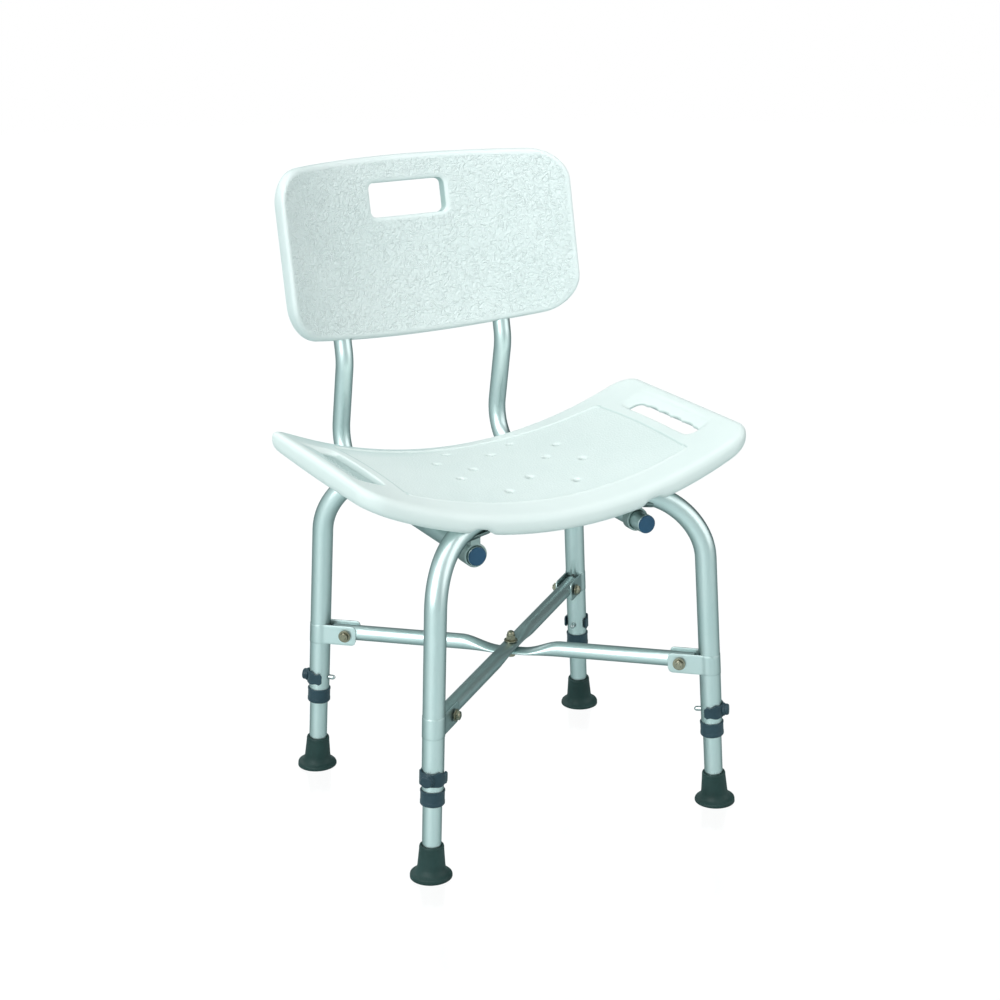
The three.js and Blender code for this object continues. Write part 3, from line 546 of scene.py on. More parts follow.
def satin_metal(name, dark, light, roughness, stretch, scratch=0.03, rim=0.25):
    """Satin metal with fine streaks drawn along one axis; rim is how dark its painted shade makes it at its
    outline.
    """
    n = Nodes(name)
    streaks = n.noise(1400, 2, 0.5, stretch)
    patches = n.noise(14, 2)
    blend = n.math("MULTIPLY_ADD", streaks, 0.3, n.math("MULTIPLY", patches, 0.7))
    tone = n.ramp(blend, ((0.3, dark), (0.7, light)))
    # Painted shade: the tone is darkened towards the outline.
    n.link(n.shaded(tone, rim, 0.12, 0.8), n.shader.inputs["Base Color"])
    n.link(n.span(streaks, roughness - 0.04, roughness + 0.06), n.shader.inputs["Roughness"])
    n.link(n.bump(streaks, scratch, 0.2), n.shader.inputs["Normal"])
    n.set(Metallic=1.0)
    return n.material


def dull_plastic(name, dark, light, roughness, scale=420, depth=0.15):
    """Moulded plastic or rubber with a fine spark-eroded surface."""
    n = Nodes(name)
    n.link(n.ramp(n.noise(30, 4), ((0.3, dark), (0.7, light))), n.shader.inputs["Base Color"])
    n.link(n.span(n.noise(80, 3), roughness - 0.08, roughness + 0.08), n.shader.inputs["Roughness"])
    n.link(n.bump(n.noise(scale, 3), depth, 0.4), n.shader.inputs["Normal"])
    n.set(Specular_IOR_Level=0.4)
    return n.material


ALONG_Z = (1, 1, 0.05)
SEAT_WHITE = moulded_plastic(
    "seat_white", ((0.76, 0.83, 0.81), (0.80, 0.86, 0.84)), ((0.80, 0.86, 0.84), (0.84, 0.89, 0.87)), False)
PANEL_WHITE = moulded_plastic(
    "panel_white", ((0.78, 0.84, 0.83), (0.82, 0.87, 0.86)), ((0.80, 0.86, 0.85), (0.84, 0.88, 0.87)), True)
ALUMINIUM = satin_metal("tube_satin", (0.80, 0.94, 0.93), (0.87, 0.97, 0.96), 0.35, ALONG_Z)
PLATE = satin_metal("plate_satin", (0.76, 0.90, 0.89), (0.84, 0.94, 0.93), 0.40, (1, 1, 0.3))
SADDLE_METAL = satin_metal("saddle_zinc", (0.44, 0.53, 0.51), (0.58, 0.66, 0.64), 0.32, (0.3, 1, 1), 0.05)
STEEL = satin_metal("polished_steel", (0.66, 0.72, 0.72), (0.76, 0.80, 0.80), 0.16, (1, 1, 1), 0.02)
BRASS = satin_metal("yellow_zinc", (0.34, 0.31, 0.22), (0.50, 0.46, 0.35), 0.28, (1, 1, 1), 0.03)
SLATE = dull_plastic("slate_plastic", (0.018, 0.046, 0.064), (0.030, 0.068, 0.090), 0.42)
CAP_BLUE = dull_plastic("cap_blue", (0.018, 0.080, 0.160), (0.032, 0.108, 0.198), 0.40)
RUBBER = dull_plastic("foot_rubber", (0.008, 0.032, 0.029), (0.018, 0.054, 0.050), 0.55, 300, 0.3)

# ---------------- legs: axes and routes


def leg_point(sx, sy, z):
    t = z / KNEE_Z
    return np.array((sx * (FOOT_X + (KNEE_X - FOOT_X) * t), sy * (FOOT_Y + (KNEE_Y - FOOT_Y) * t), z))


def leg_up(sx, sy):
    return unit(leg_point(sx, sy, 1) - leg_point(sx, sy, 0))


def leg_frame(sx, sy, z):
    return frame_at(leg_point(sx, sy, z), (sx * FOOT_X, sy * FOOT_Y, 0), leg_up(sx, sy))


def frame_route(sy):
    """The frame tube from the left collar over to the right one."""
    ends = []
    for sx in (-1, 1):
        knee = leg_point(sx, sy, KNEE_Z)
        shoulder = np.array((sx * SHOULDER_X, sy * SHOULDER_Y, SHOULDER_Z))
        inward = np.array((-sx, 0, 0.02))
        ends.append(bezier(knee, knee + leg_up(sx, sy) * BEND_HANDLE,
                           shoulder - inward * BEND_HANDLE, shoulder, 22))
    dip = SHOULDER_Z - 4 / 3 * FRAME_DIP
    across = bezier(ends[0][-1], (-SHOULDER_X / 2, sy * SHOULDER_Y, dip),
                    (SHOULDER_X / 2, sy * SHOULDER_Y, dip), ends[1][-1], 16)
    low = COLLAR_Z - TUBE_END
    return np.concatenate([
        [leg_point(-1, sy, low)], ends[0], across[1:-1], ends[1][::-1], [leg_point(1, sy, low)]])


def arc(centre_y, centre_z, radius, start, end, x, steps):
    angles = np.linspace(start, end, steps + 1)
    return np.stack([np.full_like(angles, x), centre_y + radius * np.cos(angles),
                     centre_z + radius * np.sin(angles)], 1)


def back_route(sx):
    """The backrest tube: under the seat, up behind it, and back into the panel."""
    x, lean = sx * BACK_X, PANEL_TILT
    low = arc(BACK_BEND_Y, BACK_Z + BACK_LOW_BEND, BACK_LOW_BEND, -math.pi / 2, lean, x, 22)
    start = low[-1] + BACK_RISE * np.array((0, -math.sin(lean), math.cos(lean)))
    centre = start + BACK_HIGH_BEND * np.array((0, math.cos(lean), math.sin(lean)))
    high = arc(centre[1], centre[2], BACK_HIGH_BEND, math.pi + lean, math.pi - lean, x, 12)
    top = high[-1] + BACK_TOP * np.array((0, math.sin(lean), math.cos(lean)))
    return np.concatenate([[(x, BACK_FRONT, BACK_Z)], low, high, [top]])


ROUTES = {"front": frame_route(-1), "back": frame_route(1)}

for end, sy in (("front", -1), ("back", 1)):
    tube = swept("frame_tube_" + end, ROUTES[end], TUBE_R, TUBE_R - WALL)
    holes = []
    for sx in (-1, 1):
        pin = leg_frame(sx, sy, PIN_Z)
        holes.append(rod(PIN_HOLE_R, pin[:3, 3] - 20 * pin[:3, 0], pin[:3, 3] + 20 * pin[:3, 0]))
    finish_piece(cut(tube, *holes), "chair", "leg_frame_" + end, ALUMINIUM)

# ---------------- telescopic legs


def leg_tube(corner, sx, sy):
    up = leg_up(sx, sy)
    low = leg_point(sx, sy, LEG_START)
    high = leg_point(sx, sy, PIN_Z + (HOLES - 1) * HOLE_PITCH + LEG_SPARE)
    tube = swept("leg_" + corner, [low, (low + high) / 2, high], LEG_R, LEG_R - WALL)
    pin = leg_frame(sx, sy, PIN_Z)
    holes = []
    for i in range(HOLES):
        at = pin[:3, 3] + up * i * HOLE_PITCH
        holes.append(rod(PIN_HOLE_R, at - 20 * pin[:3, 0], at + 20 * pin[:3, 0], 24))
    cut(tube, *holes)
    finish_piece(tube, "leg_" + corner, "leg_tube_" + corner, ALUMINIUM)


def rubber_foot(corner, sx, sy):
    place = leg_frame(sx, sy, 0)
    profile = [
        (0, -5), (24.4, -5), (24.4, 2.6), (23.8, 4.0), (22.4, 4.6), (19.4, 6.2), (17.6, 8.8),
        (16.6, 11.0), (16.0, 14.0), (14.3, 34.0), (14.3, 36.6), (13.6, 38.8), (LEG_R + 0.35, 39.0),
        (LEG_R + 0.3, 10), (0, 10),
    ]
    foot = turned("foot_" + corner, profile, place, 64, 0.8)
    cut(foot, block((-400, -400, -40), (400, 400, 0)))
    # Rings moulded into the sole.
    for radius in (8, 14, 20):
        ring = turned("tool", [(radius - 1.2, -2), (radius + 1.2, -2), (radius + 0.6, 1.4),
                               (radius - 0.6, 1.4)], place, 64, 0)
        cut(foot, ring)
    finish_piece(foot, "leg_" + corner, "rubber_foot_" + corner, RUBBER)


def collar(corner, sx, sy):
    place = leg_frame(sx, sy, COLLAR_Z)
    inner, lip = TUBE_R + 0.25, LEG_R + 0.3
    profile = [
        (lip, -9), (13.2, -9), (14.2, -7.6), (14.2, -4.2), (13.9, -3.8), (13.9, 6.2), (14.3, 6.8),
        (14.3, 8.4), (13.8, 9), (inner, 9), (inner, -8), (lip, -8),
    ]
    ring = turned("collar_" + corner, profile, place, 56, 0)
    finish_piece(ring, "chair", "leg_collar_" + corner, SLATE, 28)


# ---------------- lock clips and pins


def strip(name, path, thickness, half_height, matrix, lean=None):
    """A band of sheet that stands on its edge along a plan path; half_height(s, side) shapes it."""
    path = np.asarray(path, float)
    steps = np.linalg.norm(np.diff(path, axis=0), axis=1)
    along = np.concatenate([[0], np.cumsum(steps)])
    tangents = np.gradient(path, axis=0)
    tangents /= np.linalg.norm(tangents, axis=1)[:, None]
    normals = np.stack([tangents[:, 1], -tangents[:, 0]], 1)
    verts, levels = [], np.linspace(-1, 1, 9)
    for p, n, s in zip(path, normals, along):
        low, high = half_height(s, -1), half_height(s, 1)
        for side in (0, 1):
            q = p + n * thickness * side
            verts += [(q[0], q[1], v * (high if v > 0 else low)) for v in levels]
    rows, count = len(path), len(levels)
    ring = list(range(count)) + list(range(2 * count - 1, count - 1, -1))
    faces = []
    for i in range(rows - 1):
        for a, b in zip(ring, ring[1:] + ring[:1]):
            faces.append((i * 2 * count + a, i * 2 * count + b,
                          (i + 1) * 2 * count + b, (i + 1) * 2 * count + a))
    faces.append(tuple(ring))
    faces.append(tuple((rows - 1) * 2 * count + r for r in ring))
    verts = np.array(verts)
    if lean is not None:
        verts[:, :2] += verts[:, 2:] * lean
    return new_object(name, moved(verts, matrix), faces)


STRAP_T = 2.3


def arc_path(radius, start, end, steps):
    angles = np.radians(np.linspace(start, end, steps + 1))
    return [(radius * math.cos(a), radius * math.sin(a)) for a in angles]


def lock(corner, sx, sy):
    place = leg_frame(sx, sy, PIN_Z)
    inner = TUBE_R + 0.35
    path = [(-7, -inner), (-4, -inner)] + arc_path(inner, -90, 90, 32) + [(-4, inner), (-7, inner)]
    middle = 7 + math.pi * inner / 2

    def half(s, side):
        # The strap is tall beside the knob, waisted on its flanks and rounded at its tips.
        from_middle = abs(s - middle)
        lobe = 1.6 * math.exp(-((from_middle - 12.5) / 3.2) ** 2)
        waist = 1.3 * math.exp(-((from_middle - 20.0) / 3.0) ** 2)
        tip = 3.0 * max(0.0, 1 - (middle - from_middle) / 3.0) ** 2
        return 7.6 + (lobe if side > 0 else 0.4 * lobe) - waist - tip

    strap = strip("lock_strap_" + corner, path, STRAP_T, half, place)
    bevel(strap, 0.5, 3, 40)
    out = inner + STRAP_T
    turn = place @ np.array([[0, 0, 1, 0], [0, 1, 0, 0], [-1, 0, 0, 0], [0, 0, 0, 1]], float)
    knob = turned("tool", [(0, inner + 0.8), (8.0, inner + 0.8), (8.0, out + 0.8), (6.9, out + 1.4),
                           (6.9, out + 4.2), (6.2, out + 5.6), (0, out + 5.9)], turn, 40, 0.7)
    fuse(strap, knob)
    cut(strap, rod(PIN_R + 0.2, place[:3, 3], place[:3, 3] + place[:3, 0] * (out + 2.6)))
    finish_piece(strap, "lock_" + corner, "lock_clip_" + corner, SLATE)
    tip = -(TUBE_R + 8)
    pin = turned("pin_" + corner, [(0, tip), (1.4, tip + 0.3), (2.6, tip + 1.5), (PIN_R, tip + 3.2),
                                   (PIN_R, out + 2.2), (0, out + 2.2)], turn, 32, 0.5)
    finish_piece(pin, "lock_" + corner, "lock_pin_" + corner, STEEL)


for corner, sx, sy in CORNERS:
    leg_tube(corner, sx, sy)
    rubber_foot(corner, sx, sy)
    collar(corner, sx, sy)
    lock(corner, sx, sy)

# ---------------- cross braces

EAR_REACH, EAR_HALF, EAR_CORNER, EAR_T = 49.0, 12.5, 6.0, 1.8
EAR_IN = 10.8
BOLT_AT = 35.0
BRACE_START = 18.0
CROSS_Z = BRACE_Z + 1.5
LOWER_ROOF = -3.5
UPPER_FLOOR = LOWER_ROOF + GAP
UPPER_ROOF = 6.0


def inward(sx, sy):
    leg = leg_point(sx, sy, BRACE_Z)
    reach = math.hypot(leg[0], leg[1])
    return reach, np.array((-leg[0], -leg[1], 0)) / reach


def brace(name, sx, floor, roof):
    """A brace tube, pressed flat about the middle of its length where the two cross."""
    reach, way = inward(sx, -1)
    half = reach - BRACE_START
    stations = np.concatenate([[-half], np.linspace(-66, 66, 67), [half]])
    tube = swept(name, [(s, 0, 0) for s in stations], BRACE_R, BRACE_R - WALL)
    points = read_points(tube)
    squeeze = 1 - smoothstep(np.abs(points[:, 0]), 14, 62)
    low = -BRACE_R + (floor + BRACE_R) * squeeze
    high = BRACE_R + (roof - BRACE_R) * squeeze
    level = (points[:, 2] + BRACE_R) / (2 * BRACE_R)
    flat = 1 - (roof - floor) / (2 * BRACE_R)
    points[:, 2] = low + (high - low) * level
    points[:, 1] *= 1 + 0.22 * squeeze * flat
    place = frame_at((0, 0, CROSS_Z), way, (0, 0, 1))
    write_points(tube, moved(points, place))
    across = place[:3, 1]
    holes = [rod(BOLT_HOLE_R, (0, 0, CROSS_Z - 20), (0, 0, CROSS_Z + 20))]
    for end in (-1, 1):
        at = way * end * (reach - BOLT_AT) + np.array((0, 0, BRACE_Z))
        holes.append(rod(BOLT_HOLE_R, at - 20 * across, at + 20 * across))
    cut(tube, *holes)
    finish_piece(tube, "chair", name, ALUMINIUM)


def hex_head(name, flats, height, matrix):
    """A hexagon with its outer corners turned off to a cone, as bolt heads and nuts have."""
    r = flats / math.sqrt(3)
    head = prism(circle(r, 6), 0, height, matrix, name)
    cone = turned("tool", [(0, -1), (r + 1, -1), (r + 1, height - 1.6), (flats / 2 - 0.3, height),
                           (0, height)], matrix, 48, 0)
    mod = head.modifiers.new("cone", "BOOLEAN")
    mod.operation, mod.solver, mod.object = "INTERSECT", "EXACT", cone
    apply_modifiers(head)
    bpy.data.objects.remove(cone)
    return head


def brace_fixings(corner, sx, sy):
    reach, way = inward(sx, sy)
    place = frame_at(leg_point(sx, sy, BRACE_Z), way, (0, 0, 1))
    wrap = TUBE_R + 0.4
    side = math.degrees(math.asin(EAR_IN / wrap))
    ear = np.linspace(EAR_REACH, wrap * math.cos(math.radians(side)) + 1.5, 26)
    path = [(x, EAR_IN) for x in ear] + arc_path(wrap, side + 6, 354 - side, 40)
    path += [(x, -EAR_IN) for x in ear[::-1]]
    total = sum(math.dist(a, b) for a, b in zip(path, path[1:]))

    def half(s, _side):
        short = EAR_CORNER - min(s, total - s)
        return EAR_HALF - (EAR_CORNER - math.sqrt(max(0.0, EAR_CORNER**2 - short**2)) if short > 0 else 0)

    lean = (leg_point(sx, sy, 1) - leg_point(sx, sy, 0)) @ place[:3, :3]
    strap = strip("brace_strap_" + corner, path, -EAR_T, half, place, lean[:2])
    bevel(strap, 0.35, 2, 50)
    finish_piece(strap, "chair", "brace_bracket_" + corner, PLATE)
    face = EAR_IN + EAR_T + 0.05
    across = place[:3, 1]
    outward = -across if across[1] > 0 else across
    centre = leg_point(sx, sy, BRACE_Z) + way * BOLT_AT
    head_at = frame_at(centre + outward * face, (0, 0, 1), outward)
    washer = turned("tool", [(0, 0), (7.6, 0), (7.6, 1.1), (0, 1.1)], head_at, 40, 0.3)
    bolt = hex_head("brace_bolt_" + corner + "_fine", 10, 5, head_at)
    dome = turned("tool", [(0, 4), (3.6, 4), (3.2, 5.4), (0, 5.9)], head_at, 40, 0.5)
    shank = rod(BOLT_R, centre + outward * (face + 1), centre - outward * (face + 7))
    fuse(bolt, washer, dome, shank)
    finish_piece(bolt, "chair", "brace_bolt_" + corner, BRASS)
    nut_at = frame_at(centre - outward * face, (0, 0, 1), -outward)
    nut = hex_head("brace_nut_" + corner + "_fine", 10, 5.4, nut_at)
    cut(nut, rod(BOLT_R + 0.15, centre, centre - outward * (face + 12)))
    finish_piece(nut, "chair", "brace_nut_" + corner, BRASS)


brace("brace_lower", 1, -BRACE_R, LOWER_ROOF)
brace("brace_upper", -1, UPPER_FLOOR, UPPER_ROOF)
for corner, sx, sy in CORNERS:
    brace_fixings(corner, sx, sy)

nut_seat = CROSS_Z + UPPER_ROOF + 0.1
middle_at = frame_at((0, 0, nut_seat), (1, 0, 0), (0, 0, 1))
hex_at = frame_at((0, 0, nut_seat + 1.5), (1, 0, 0), (0, 0, 1))
acorn = hex_head("centre_dome_nut", 10.6, 6.2, hex_at)
fuse(
    acorn,
    turned("tool", [(0, 0), (8.4, 0), (8.4, 1.6), (0, 1.6)], middle_at, 48, 0.4),
    turned("tool", [(0, 6), (4.8, 6), (4.8, 8.6), (4.3, 10.9), (3.0, 12.5), (1.3, 13.2), (0, 13.3)],
           middle_at, 48, 0.6),
)
cut(acorn, rod(BOLT_HOLE_R, (0, 0, nut_seat - 1), (0, 0, nut_seat + 7.2)))
finish_piece(acorn, "chair", "dome_nut", BRASS)
bolt_seat = CROSS_Z - BRACE_R - 0.1
under_at = frame_at((0, 0, bolt_seat), (1, 0, 0), (0, 0, -1))
centre_bolt = hex_head("centre_bolt_fine", 10, 4.2, under_at)
fuse(centre_bolt, rod(BOLT_R, (0, 0, bolt_seat - 1), (0, 0, nut_seat + 7)))
finish_piece(centre_bolt, "chair", "centre_bolt", BRASS)

# ---------------- seat


def arc_rise(radius, x):
    return radius - np.sqrt(radius**2 - np.asarray(x, float) ** 2)


def saddle_z(x, y, z, arcs, fall):
    share = np.clip(np.abs(y) / (SEAT_D / 2), 0, 1) ** 2
    return (z + arc_rise(arcs[0], x)) * (1 - share) + (z - fall + arc_rise(arcs[1], x)) * share


def seat_top(x, y):
    return saddle_z(x, y, SEAT_TOP, TOP_ARCS, SEAT_FALL)


def seat_bottom(x, y):
    """The lower edge is arched up a little over each end of the backrest tubes."""
    from_tube = np.abs(np.abs(x) - BACK_X)
    arch = 5.5 * (1 - smoothstep(from_tube, 6, 17)) * smoothstep(np.abs(y), 112, 124)
    return saddle_z(x, y, SEAT_BOTTOM, BOTTOM_ARCS, 0.0) + arch


def rounded_fall(inset, reach, power=2.5):
    """Share of the way down to the rim's widest line at a distance in from it."""
    u = np.clip(1 - inset / reach, 0, 1)
    return 1 - (1 - u**power) ** (1 / power)


def slot_ring(spread=0.0, flute=2.4, end_spread=0.0, inner_spread=0.0, rear_spread=0.0):
    """Outline of a hand slot, opened out by a spread; flute is the depth of its finger grips."""
    half_w, half_l = SLOT_W / 2, (SLOT_L + rear_spread) / 2 + end_spread
    low, high = -half_w - inner_spread, half_w + spread
    radius = min(9.0 + 0.6 * end_spread, (high - low) / 2 - 0.5)
    points = []
    for sx, sy, start in ((1, 1, 0), (-1, 1, 90), (-1, -1, 180), (1, -1, 270)):
        for i in range(9):
            a = math.radians(start + 90 * i / 8)
            x = (high - radius if sx > 0 else low + radius) + radius * math.cos(a)
            points.append((x, sy * (half_l - radius) + radius * math.sin(a)))
    reach = half_l - radius
    for t in np.linspace(-1, 1, 105)[1:-1]:
        y = t * reach
        wave = abs(math.sin(math.pi * y / FINGER)) if abs(y) < 2 * FINGER else 0.0
        points.append((high + flute * wave, y))
    return np.array(points) + (0, SLOT_Y + rear_spread / 2)


def slot_tool(side, levels):
    """A cutter for one hand slot: outlines at heights along the normal of the seat there."""
    slope = seat_top(SLOT_X + 0.5, 0) - seat_top(SLOT_X - 0.5, 0)
    place = frame_at((side * SLOT_X, 0, float(seat_top(SLOT_X, 0))), (side, 0, slope), (-side * slope, 0, 1))
    rings = []
    for w, *spreads in levels:
        ring = slot_ring(*spreads)
        rings.append(np.column_stack([ring[:, 0], ring[:, 1] * side, np.full(len(ring), w)]))
    count = len(rings[0])
    faces = tube_faces(len(rings), count)
    faces.append(tuple(range(count)))
    faces.append(tuple(range((len(rings) - 1) * count, len(rings) * count)))
    return new_object("tool", moved(np.concatenate(rings), place), faces)


def seat_skin():
    """The whole moulding before anything is cut from it, from inset rings of its top and bottom."""
    rings = []
    half = SEAT_D / 2
    top_insets = np.concatenate([np.linspace(half, 18, 45), 16 * np.linspace(1, 0, 16) ** 1.4])
    bottom_insets = np.concatenate([10 * np.linspace(0, 1, 12)[1:] ** 1.4, np.linspace(12, half, 28)])
    for insets, top in ((top_insets, True), (bottom_insets, False)):
        for d in insets:
            ring = rounded_rect(SEAT_W - 2 * d, SEAT_D - 2 * d, SEAT_CORNER * (1 - d / half), 14, 110)
            x = ring[:, 0]
            y = ring[:, 1] * (1 - 2 * SEAT_TAPER / SEAT_D * (x / (SEAT_W / 2)) ** 2)
            high, low = seat_top(x, y), seat_bottom(x, y)
            face, reach = (high, RIM_TOP) if top else (low, RIM_BOTTOM)
            middle = low + RIM_SHARE * (high - low)
            rings.append(np.stack([x, y, face + (middle - face) * rounded_fall(d, reach)], 1))
    # The innermost ring of either face closes on a line, so the moulding needs no end faces.
    return new_object("seat_moulding", np.concatenate(rings), tube_faces(len(rings), len(rings[0])))


def seat_slot_tools():
    """Each slot and its thin lip: the hole, a scoop above it and a flare below.

    A level is a height and how far the outline spreads there: outwards, in its finger grips, at
    its ends, inwards and at its rear end.
    """
    tools = []
    for side in (-1, 1):
        tools.append(slot_tool(side, [(-60,), (30,)]))
        tools.append(slot_tool(side, [
            (-4.2, 0.6, 2.2, 0.6, 0.1, 0), (-2.6, 6.0, 1.6, 2.4, 0.3, 9), (-1.2, 12.0, 0.8, 4.0, 0.5, 15),
            (-0.4, 18.0, 0.3, 6.0, 0.8, 18), (2.0, 24.0, 0.0, 9.0, 1.5, 22)]))
        tools.append(slot_tool(side, [
            (-60, 24, 0, 62, 12), (-24, 18, 0.3, 48, 9), (-9.2, 7.0, 1.4, 6.0, 3.0),
            (-7.8, 0.5, 2.2, 0.5, 0.3)]))
    return tools


def drain_tools():
    """A hole and the shallow dish it stands in, square to the seat's surface there."""
    tools = []
    for x, y in DRAINS:
        for mx, my in sorted({(sx * x, sy * y) for sx in (-1, 1) for sy in (-1, 1)}):
            tools.append(rod(4.0, (mx, my, 300), (mx, my, 600)))
            upright = (-mx / DISH_ROUND[0], my / DISH_ROUND[1], 1)
            sink = frame_at((mx, my, float(seat_top(mx, my))), (1, 0, 0), upright)
            tools.append(turned("tool", [(0, -3.4), (3.6, -3.4), (6.6, 1.2), (0, 1.2)], sink, 32, 0))
    return tools


def tube_tools():
    """Room under the seat for the frame tubes and for the backrest tubes' brackets."""
    tools = []
    for sy, route in ((-1, ROUTES["front"]), (1, ROUTES["back"])):
        near = [p for p in route if abs(p[0]) < 168]
        tools += [swept("tool", [np.array(p) - (0, 0, drop) for p in near], TUBE_R + 0.8, 0, 32)
                  for drop in (0, 9, 18)]
        for sx in (-1, 1):
            x, y = sx * BACK_X, sy * 113
            tools.append(block((x - 16, y - 27, 340), (x + 16, y + 27, 391)))
    return tools


def seat():
    body = cut(seat_skin(), *seat_slot_tools(), *drain_tools(), *tube_tools())
    remesh(body, 1.4, 4)
    points = read_points(body)
    normals = vertex_normals(body)
    x, y = points[:, 0], points[:, 1]
    up = smoothstep(normals[:, 2], 0.6, 0.85) * (points[:, 2] > seat_bottom(x, y) + 8)
    # The grained panel is sunk a little, between a raised edge at front and back and a crease at its ends.
    bow = GRAIN_BOW * (1 - np.clip(np.abs(x) / GRAIN_X, 0, 1) ** 2)
    panel = rect_distance(x, y, GRAIN_X, GRAIN_Y + bow, GRAIN_CORNER)
    inside = smoothstep(-panel, -0.4, 1.6)
    ridge = np.exp(-((panel / 1.7) ** 2)) * (np.abs(y) > GRAIN_Y - 10)
    crease = np.exp(-(((np.abs(x) - GRAIN_X - 0.5) / 1.2) ** 2)) * (np.abs(y) < GRAIN_Y - 1)
    points[:, 2] += up * (1.1 * ridge - 0.8 * inside - 0.8 * crease)
    write_points(body, points)
    paint(body, "grain", up * inside)
    # Painted shade, stored for the material: along the crease at the panel's ends and on the hand slots'
    # walls.
    from_slot = rect_distance(np.abs(x) - SLOT_X, y - SLOT_Y, SLOT_W / 2 + 3, SLOT_L / 2, 9)
    walls = smoothstep(1 - np.abs(normals[:, 2]), 0.2, 0.6) * (from_slot < 3)
    paint(body, "crease", np.maximum(0.6 * up * crease, 0.35 * walls))
    finish_piece(body, "chair", "seat", SEAT_WHITE, 60)


# ---------------- backrest panel


def panel_matrix():
    return frame_at((0, PANEL_Y, PANEL_Z), (1, 0, 0), (0, math.sin(PANEL_TILT), math.cos(PANEL_TILT)))


def panel_bow(x, v):
    """How far the bowed top and bottom edges stand beyond the straight ones at a height v."""
    return PANEL_CROWN * (1 - (x / (PANEL_W / 2)) ** 2) * np.clip(v / (PANEL_H / 2), -1, 1)


def wrap_panel(x, t, v):
    """Bends the flat panel round the sitter: t is the distance behind its middle surface."""
    return np.stack([x, np.sqrt((PANEL_ARC + t) ** 2 - x**2) - PANEL_ARC, v], 1)


def backrest():
    rings = []
    insets = np.concatenate([np.linspace(PANEL_H / 2, 12, 36), np.linspace(PANEL_EDGE, 0, 12)])
    for d_list, face in ((insets, -1), (insets[::-1], 1)):
        for d in d_list:
            corner = PANEL_CORNER * (1 - 2 * d / PANEL_H)
            ring = rounded_rect(PANEL_W - 2 * d, PANEL_H - 2 * d, corner, 12, 50)
            x, v = ring[:, 0], ring[:, 1]
            t = np.full_like(x, face * PANEL_T / 2 * (1 - float(rounded_fall(d, PANEL_EDGE, 2.4))))
            rings.append(wrap_panel(x, t, v + panel_bow(x, v)))
    place = panel_matrix()
    verts = moved(np.concatenate(rings), place)
    body = new_object("backrest_moulding", verts, tube_faces(len(rings), len(rings[0])))
    # The slot is wider behind the panel's middle than in front of it.
    turn = place @ np.array([[1, 0, 0, 0], [0, 0, -1, 0], [0, 1, 0, PANEL_SLOT_RISE], [0, 0, 0, 1]], float)
    flare = 2 * PANEL_SLOT_FLARE
    slot = rounded_rect(PANEL_SLOT_W, PANEL_SLOT_H, PANEL_SLOT_CORNER, 8)
    behind = rounded_rect(PANEL_SLOT_W + flare, PANEL_SLOT_H + flare, 14, 8)
    tools = [prism(slot, -80, 80, turn), prism(behind, -80, -1, turn)]
    for _, sx in SIDES:
        start, end = back_route(sx)[-2:]
        tools.append(rod(LEG_R + 0.35, start, end))
    cut(body, *tools)
    remesh(body, 1.5, 4)
    points = read_points(body)
    local = (points - place[:3, 3]) @ place[:3, :3]
    normals = vertex_normals(body) @ place[:3, :3]
    x, v = local[:, 0], local[:, 2]
    front = smoothstep(-normals[:, 1], 0.45, 0.75)
    edge = rect_distance(x, v - panel_bow(x, v), PANEL_W / 2, PANEL_H / 2, PANEL_CORNER)
    slot = rect_distance(x, v - PANEL_SLOT_RISE, PANEL_SLOT_W / 2, PANEL_SLOT_H / 2, PANEL_SLOT_CORNER)
    inside = smoothstep(-edge, 5.5, 9.0) * smoothstep(slot, 3.0, 6.0)
    points -= (0.4 * front * inside)[:, None] * vertex_normals(body)
    # The front rolls over into the slot.
    behind = np.hypot(local[:, 0], local[:, 1] + PANEL_ARC) - PANEL_ARC
    roll = 2.5 * (1 - np.clip(slot / 5.0, 0, 1)) ** 2 * np.clip(-behind / (PANEL_T / 2), 0, 1)
    points += roll[:, None] * place[:3, 1]
    write_points(body, points)
    paint(body, "grain", front * inside)
    # Painted shade, stored for the material: on the panel's sides, most of all on the slot's walls.
    sides = smoothstep(1 - np.abs(normals[:, 1]), 0.55, 0.95)
    paint(body, "crease", sides * (0.15 + 0.85 * (slot < 9)))
    finish_piece(body, "backrest", "backrest_panel", PANEL_WHITE, 60)


seat()
backrest()

# ---------------- saddle brackets and screws


# The two directions of the cross slot in a screw's head.
CROSSED = (np.eye(4), frame_at((0, 0, 0), (0, 1, 0), (0, 0, 1)))


def saddle_place(sx, sy):
    """The frame of the leg frame's tube above a backrest tube: X along it, Z up."""
    route = ROUTES["front" if sy < 0 else "back"]
    target = sx * BACK_X
    for a, b in zip(route, route[1:]):
        if (a[0] - target) * (b[0] - target) <= 0:
            t = (target - a[0]) / (b[0] - a[0])
            along = b - a
            along[1] = 0
            return frame_at(a + (b - a) * t, along, np.cross(along, (0, 1, 0)))
    raise ValueError("the frame tube does not pass over the backrest tube")


